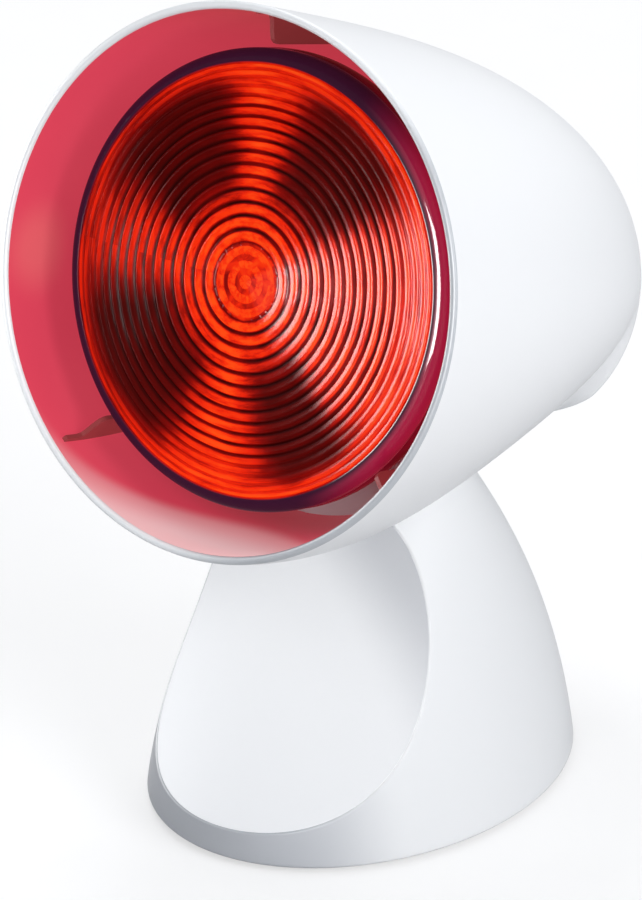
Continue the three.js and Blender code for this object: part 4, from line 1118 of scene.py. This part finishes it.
def ruby_face_material():
    """Ruby glass pressed in rings over a mirror, with its light painted in: lit crests, dark grooves and
    sectors, a crimson edge; it glows in that colour.
    """
    material, graph, shader, place = new_material("ruby_rings")
    x, y, z, local = lamp_plane(graph, place)
    radius = graph.measure("LENGTH", graph.combine(X=x, Y=y))
    mottled = graph.noise(local, 70.0, 3.0)
    around = graph.combine(X=graph.math("ARCTAN2", y, x) * 0.02, Y=radius * 3.0)
    streaks = graph.noise(around, 170.0, 4.0, Roughness=0.6)
    wander = (mottled - 0.5) * 0.0007
    phase = ring_phase(graph, radius + wander, FACE_RADIUS * MM, CENTRE_RADIUS * MM, float(RING_COUNT),
                       RING_GRADE)[1]
    crest = phase.ramp(0.04, 0.26) * phase.ramp(1.0, 0.68)
    crest = graph.math("MAXIMUM", crest, radius.ramp(0.043, 0.050, 0.0, 0.72))
    uneven = (mottled - 0.5) * 12.0
    sector = 0.0
    for middle, half_width in DARK_SECTORS:
        cosine, sine = math.cos(middle), math.sin(middle)
        apart = graph.math("ARCTAN2", y * cosine + x * -sine, x * cosine + y * sine)
        off = graph.math("DEGREES", abs(apart)) + uneven
        sector = graph.math("MAXIMUM", off.ramp(half_width + 13.0, half_width - 12.0), sector)
    sector = sector * radius.ramp(0.014, 0.030) * radius.ramp(0.0565, 0.050)
    fill = graph.math("SUBTRACT", mottled.ramp(0.35, 0.6), sector * 0.4, clamp=True)
    lit = graph.math("MAXIMUM", crest, fill * 0.3) * (1.0 - sector * 0.88)
    # Painted shade: the left of the face darker.
    lit = lit * x.ramp(-0.046, -0.008, 0.6, 1.0) * streaks.ramp(0.25, 0.62, 0.55, 1.0)
    # The middle: painted light in clouds, with painted shade on its left half.
    within = radius.ramp(0.0110, 0.0095) * x.ramp(-0.007, 0.003, 0.7, 1.0)
    clouds = graph.noise(local, 150.0, 3.0, Distortion=1.2)
    lit = graph.math("MAXIMUM", lit, within * clouds.ramp(0.3, 0.75, 0.4, 0.95))
    tones = graph.add("ShaderNodeValToRGB", {0: lit})
    stops = tones.color_ramp.elements
    for position, tone in RUBY_TONES[1:-1]:
        stops.new(position)
    for stop, (position, tone) in zip(stops, RUBY_TONES):
        stop.color = (*tone, 1.0)
    beyond = radius.ramp(0.0564, 0.0571)
    rightward = x.ramp(0.024, 0.050)
    # Painted light on the shoulder: crimson to the right, dark purple elsewhere.
    edge = graph.mix(rightward * radius.ramp(0.0572, 0.0588), (0.035, 0.006, 0.022), (0.30, 0.010, 0.05))
    base = graph.mix(beyond, tones.outputs[0], edge)
    rough = streaks.ramp(0.3, 0.75, 0.12, 0.24) - beyond * 0.06
    sideways = (x * 0.99 - y * 0.14) / graph.math("MAXIMUM", radius, 0.001)
    polish = sideways.ramp(0.60, 0.86) * (1.0 - sector)
    bump = graph.first("ShaderNodeBump", {"Height": streaks + mottled * 0.6, "Distance": 0.00012,
                                          "Strength": 0.5})
    graph.set(shader, Base_Color=base, Roughness=rough, Normal=bump, Specular_IOR_Level=polish * 0.14 + 0.03,
              Coat_Weight=beyond * rightward * 0.6, Coat_Roughness=0.05, Emission_Color=base,
              Emission_Strength=RUBY_GLOW)
    return material


def build_bulb_face():
    face, back = FACE_RADIUS, LENS_THICKNESS
    profile = [(face * i / 12, lens_height(face * i / 12) - back) for i in range(12)]
    profile += [(face - 1, lens_height(face) - back), (face - 0.3, 1.0), (face, 0.0),
                (BULB_RADIUS - 0.2, 0.0), (BULB_RADIUS, 0.2), (BULB_RADIUS, 1.2)]
    profile += arc((BULB_RADIUS - LENS_SHOULDER, 2.0), LENS_SHOULDER, np.linspace(0, math.pi / 2, 14))
    profile += [(face + 0.25, 5.25), (face + 0.1, 5.0)]
    steps = RING_COUNT * 12
    inwards = np.maximum(np.arange(steps + 1) / steps, 1e-4) ** (1 / RING_GRADE)
    radii = [*(face - (face - CENTRE_RADIUS) * inwards), *np.linspace(CENTRE_RADIUS, 0.6, 16)[1:], 0.0]
    profile += [(radius, lens_height(radius)) for radius in radii]
    piece = shape("bulb_face", in_metres, turned_points(profile, 224), WHITE)
    grow(piece, ring_tree(), Face_Radius=face * MM, Centre_Radius=CENTRE_RADIUS * MM,
         Ring_Count=float(RING_COUNT), Grade=RING_GRADE, Ring_Height=RING_HEIGHT * MM,
         Crest_Place=CREST_PLACE, Front_From=0.0035, Material=ruby_face_material())
    placed(piece, in_bulb)
    finish(piece, "bulb", "red_glass", "bulb_lens", angle=60)


def reflector_radius(behind):
    rim = BULB_RADIUS - 0.6
    return math.sqrt(rim ** 2 - (rim ** 2 - NECK_RADIUS ** 2) * (behind - REFLECTOR_START) / REFLECTOR_LENGTH)


def neck_radius(behind):
    narrowed = smooth_step((behind - (REFLECTOR_START + REFLECTOR_LENGTH)) / 20.0)
    return NECK_END_RADIUS + (NECK_RADIUS - NECK_END_RADIUS) * (1 - narrowed)


def build_bulb_back():
    """The bulb's mirrored body: a fused edge behind the face, a paraboloid and the neck."""
    cap_start = BULB_LENGTH - LENS_MIDDLE - CAP_LENGTH - CONTACT_LENGTH
    eased = BULB_RADIUS - 0.25
    outside = [(eased, -0.3), (BULB_RADIUS, -0.6), (BULB_RADIUS, -4.2), (eased, -5.2)]
    outside += [(reflector_radius(b), -b)
                for b in REFLECTOR_START + REFLECTOR_LENGTH * (1 - (1 - np.linspace(0, 1, 40)) ** 1.6)]
    outside += [(neck_radius(b), -b) for b in np.linspace(74, 92, 12)]
    outside.append((13.2, -cap_start + 0.3))
    inside = [(radius - 1.6, z) for radius, z in outside[::-1]]
    piece = shape("bulb_back", in_bulb, turned_points(outside + inside, 192), RUBY_BACK)
    finish(piece, "bulb", "dark_red_glass", "bulb_reflector", angle=50)


build_bulb_face()
build_bulb_back()


# Nodes that keep their solids' shape get their finish here.
FINISHES = {
    STEEL: ["hinge_pin_left", "hinge_pin_right", "brake_washer_left", "brake_washer_right", "holder_bracket",
            "filament_wire_left", "filament_wire_right"],
    GREY: ["holder_ring_nut"],
    CERAMIC: ["terminal_block", "holder_body"],
    BRASS: ["terminal_screw_left", "terminal_screw_right", "bulb_cap", "holder_sleeve", "holder_tongue"],
    LEAD: ["lead_in_stand", "lead_in_head"],
    STEM_GLASS: ["bulb_stem"],
    BLACK_GLASS: ["bulb_insulator"],
    NICKEL: ["bulb_skirt", "bulb_contact"],
    TUNGSTEN: ["bulb_filament"],
}
for material, names in FINISHES.items():
    for name in names:
        repaint(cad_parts[name], material)


# Floor, surroundings and lights.
FLOOR_GLOW = 0.59
WORLD_LEVEL = 0.55


def build_floor():
    mesh = bpy.data.meshes.new("floor")
    mesh.from_pydata([(-6, -6, 0), (6, -6, 0), (6, 6, 0), (-6, 6, 0)], [], [(0, 1, 2, 3)])
    material, graph, shader, place = new_material("pale_floor")
    tone = graph.mix(graph.noise(place, 40.0, 2.0), (0.39, 0.39, 0.395), (0.41, 0.41, 0.415))
    graph.set(shader, Base_Color=tone, Roughness=0.7, Specular_IOR_Level=0.1)
    output = next(node for node in graph.tree.nodes if node.type == "OUTPUT_MATERIAL")
    seen = graph.add("ShaderNodeLightPath").outputs["Is Camera Ray"]
    glow = graph.first("ShaderNodeEmission", {"Color": (1, 1, 1), "Strength": FLOOR_GLOW})
    both = graph.first("ShaderNodeAddShader", {0: shader.outputs[0], 1: glow})
    graph.set(output, Surface=graph.first("ShaderNodeMixShader", {0: seen, 1: shader.outputs[0], 2: both}))
    add_object("floor", mesh, material)


def build_world():
    """White surroundings for the eye, gloss and glass, and a weaker, cooler light from them for the rest."""
    world = bpy.data.worlds.new("surroundings")
    world.use_nodes = True
    graph = Graph(world.node_tree)
    background = next(node for node in graph.tree.nodes if node.type == "BACKGROUND")
    rays = graph.add("ShaderNodeLightPath").outputs
    shown = graph.math("MAXIMUM", rays["Is Camera Ray"], rays["Is Glossy Ray"])
    shown = graph.math("MAXIMUM", shown, rays["Is Transmission Ray"])
    graph.set(background, Color=graph.mix(shown, (0.92, 0.95, 1.0), (1, 1, 1)),
              Strength=shown * (1.0 - WORLD_LEVEL) + WORLD_LEVEL)
    bpy.context.scene.world = world


def soft_light(name, azimuth, elevation, distance, size, power, lights_surfaces=True):
    """A flat light of a width and height that looks at the lamp; azimuth is counted as the camera's is."""
    away = direction(math.radians(azimuth), math.radians(elevation))
    data = bpy.data.lights.new(name, "AREA")
    data.shape = "RECTANGLE"
    data.size, data.size_y = size
    data.energy = power
    light = bpy.data.objects.new(name, data)
    turn = away.to_track_quat("Z", "Y").to_matrix().to_4x4()
    light.matrix_world = Matrix.Translation(away * distance + Vector((0, 0, 0.12))) @ turn
    light.visible_diffuse = lights_surfaces
    bpy.context.scene.collection.objects.link(light)


build_floor()
build_world()
soft_light("right_key", 86, 22, 1.8, (1.2, 1.0), 22.0)
soft_light("front_fill", 15, 8, 1.8, (1.0, 0.5), 6.5)
soft_light("top_light", -125, 66, 1.8, (0.6, 0.6), 10.5)
# Windows that only gloss shows: one for the rings, one for the bulb's shoulder.
soft_light("left_window", -66, 3, 0.5, (0.4, 0.23), 4.5, lights_surfaces=False)
soft_light("right_window", 22, 16, 1.3, (0.5, 0.8), 38.0, lights_surfaces=False)

bpy.context.scene.view_settings.view_transform = "Standard"
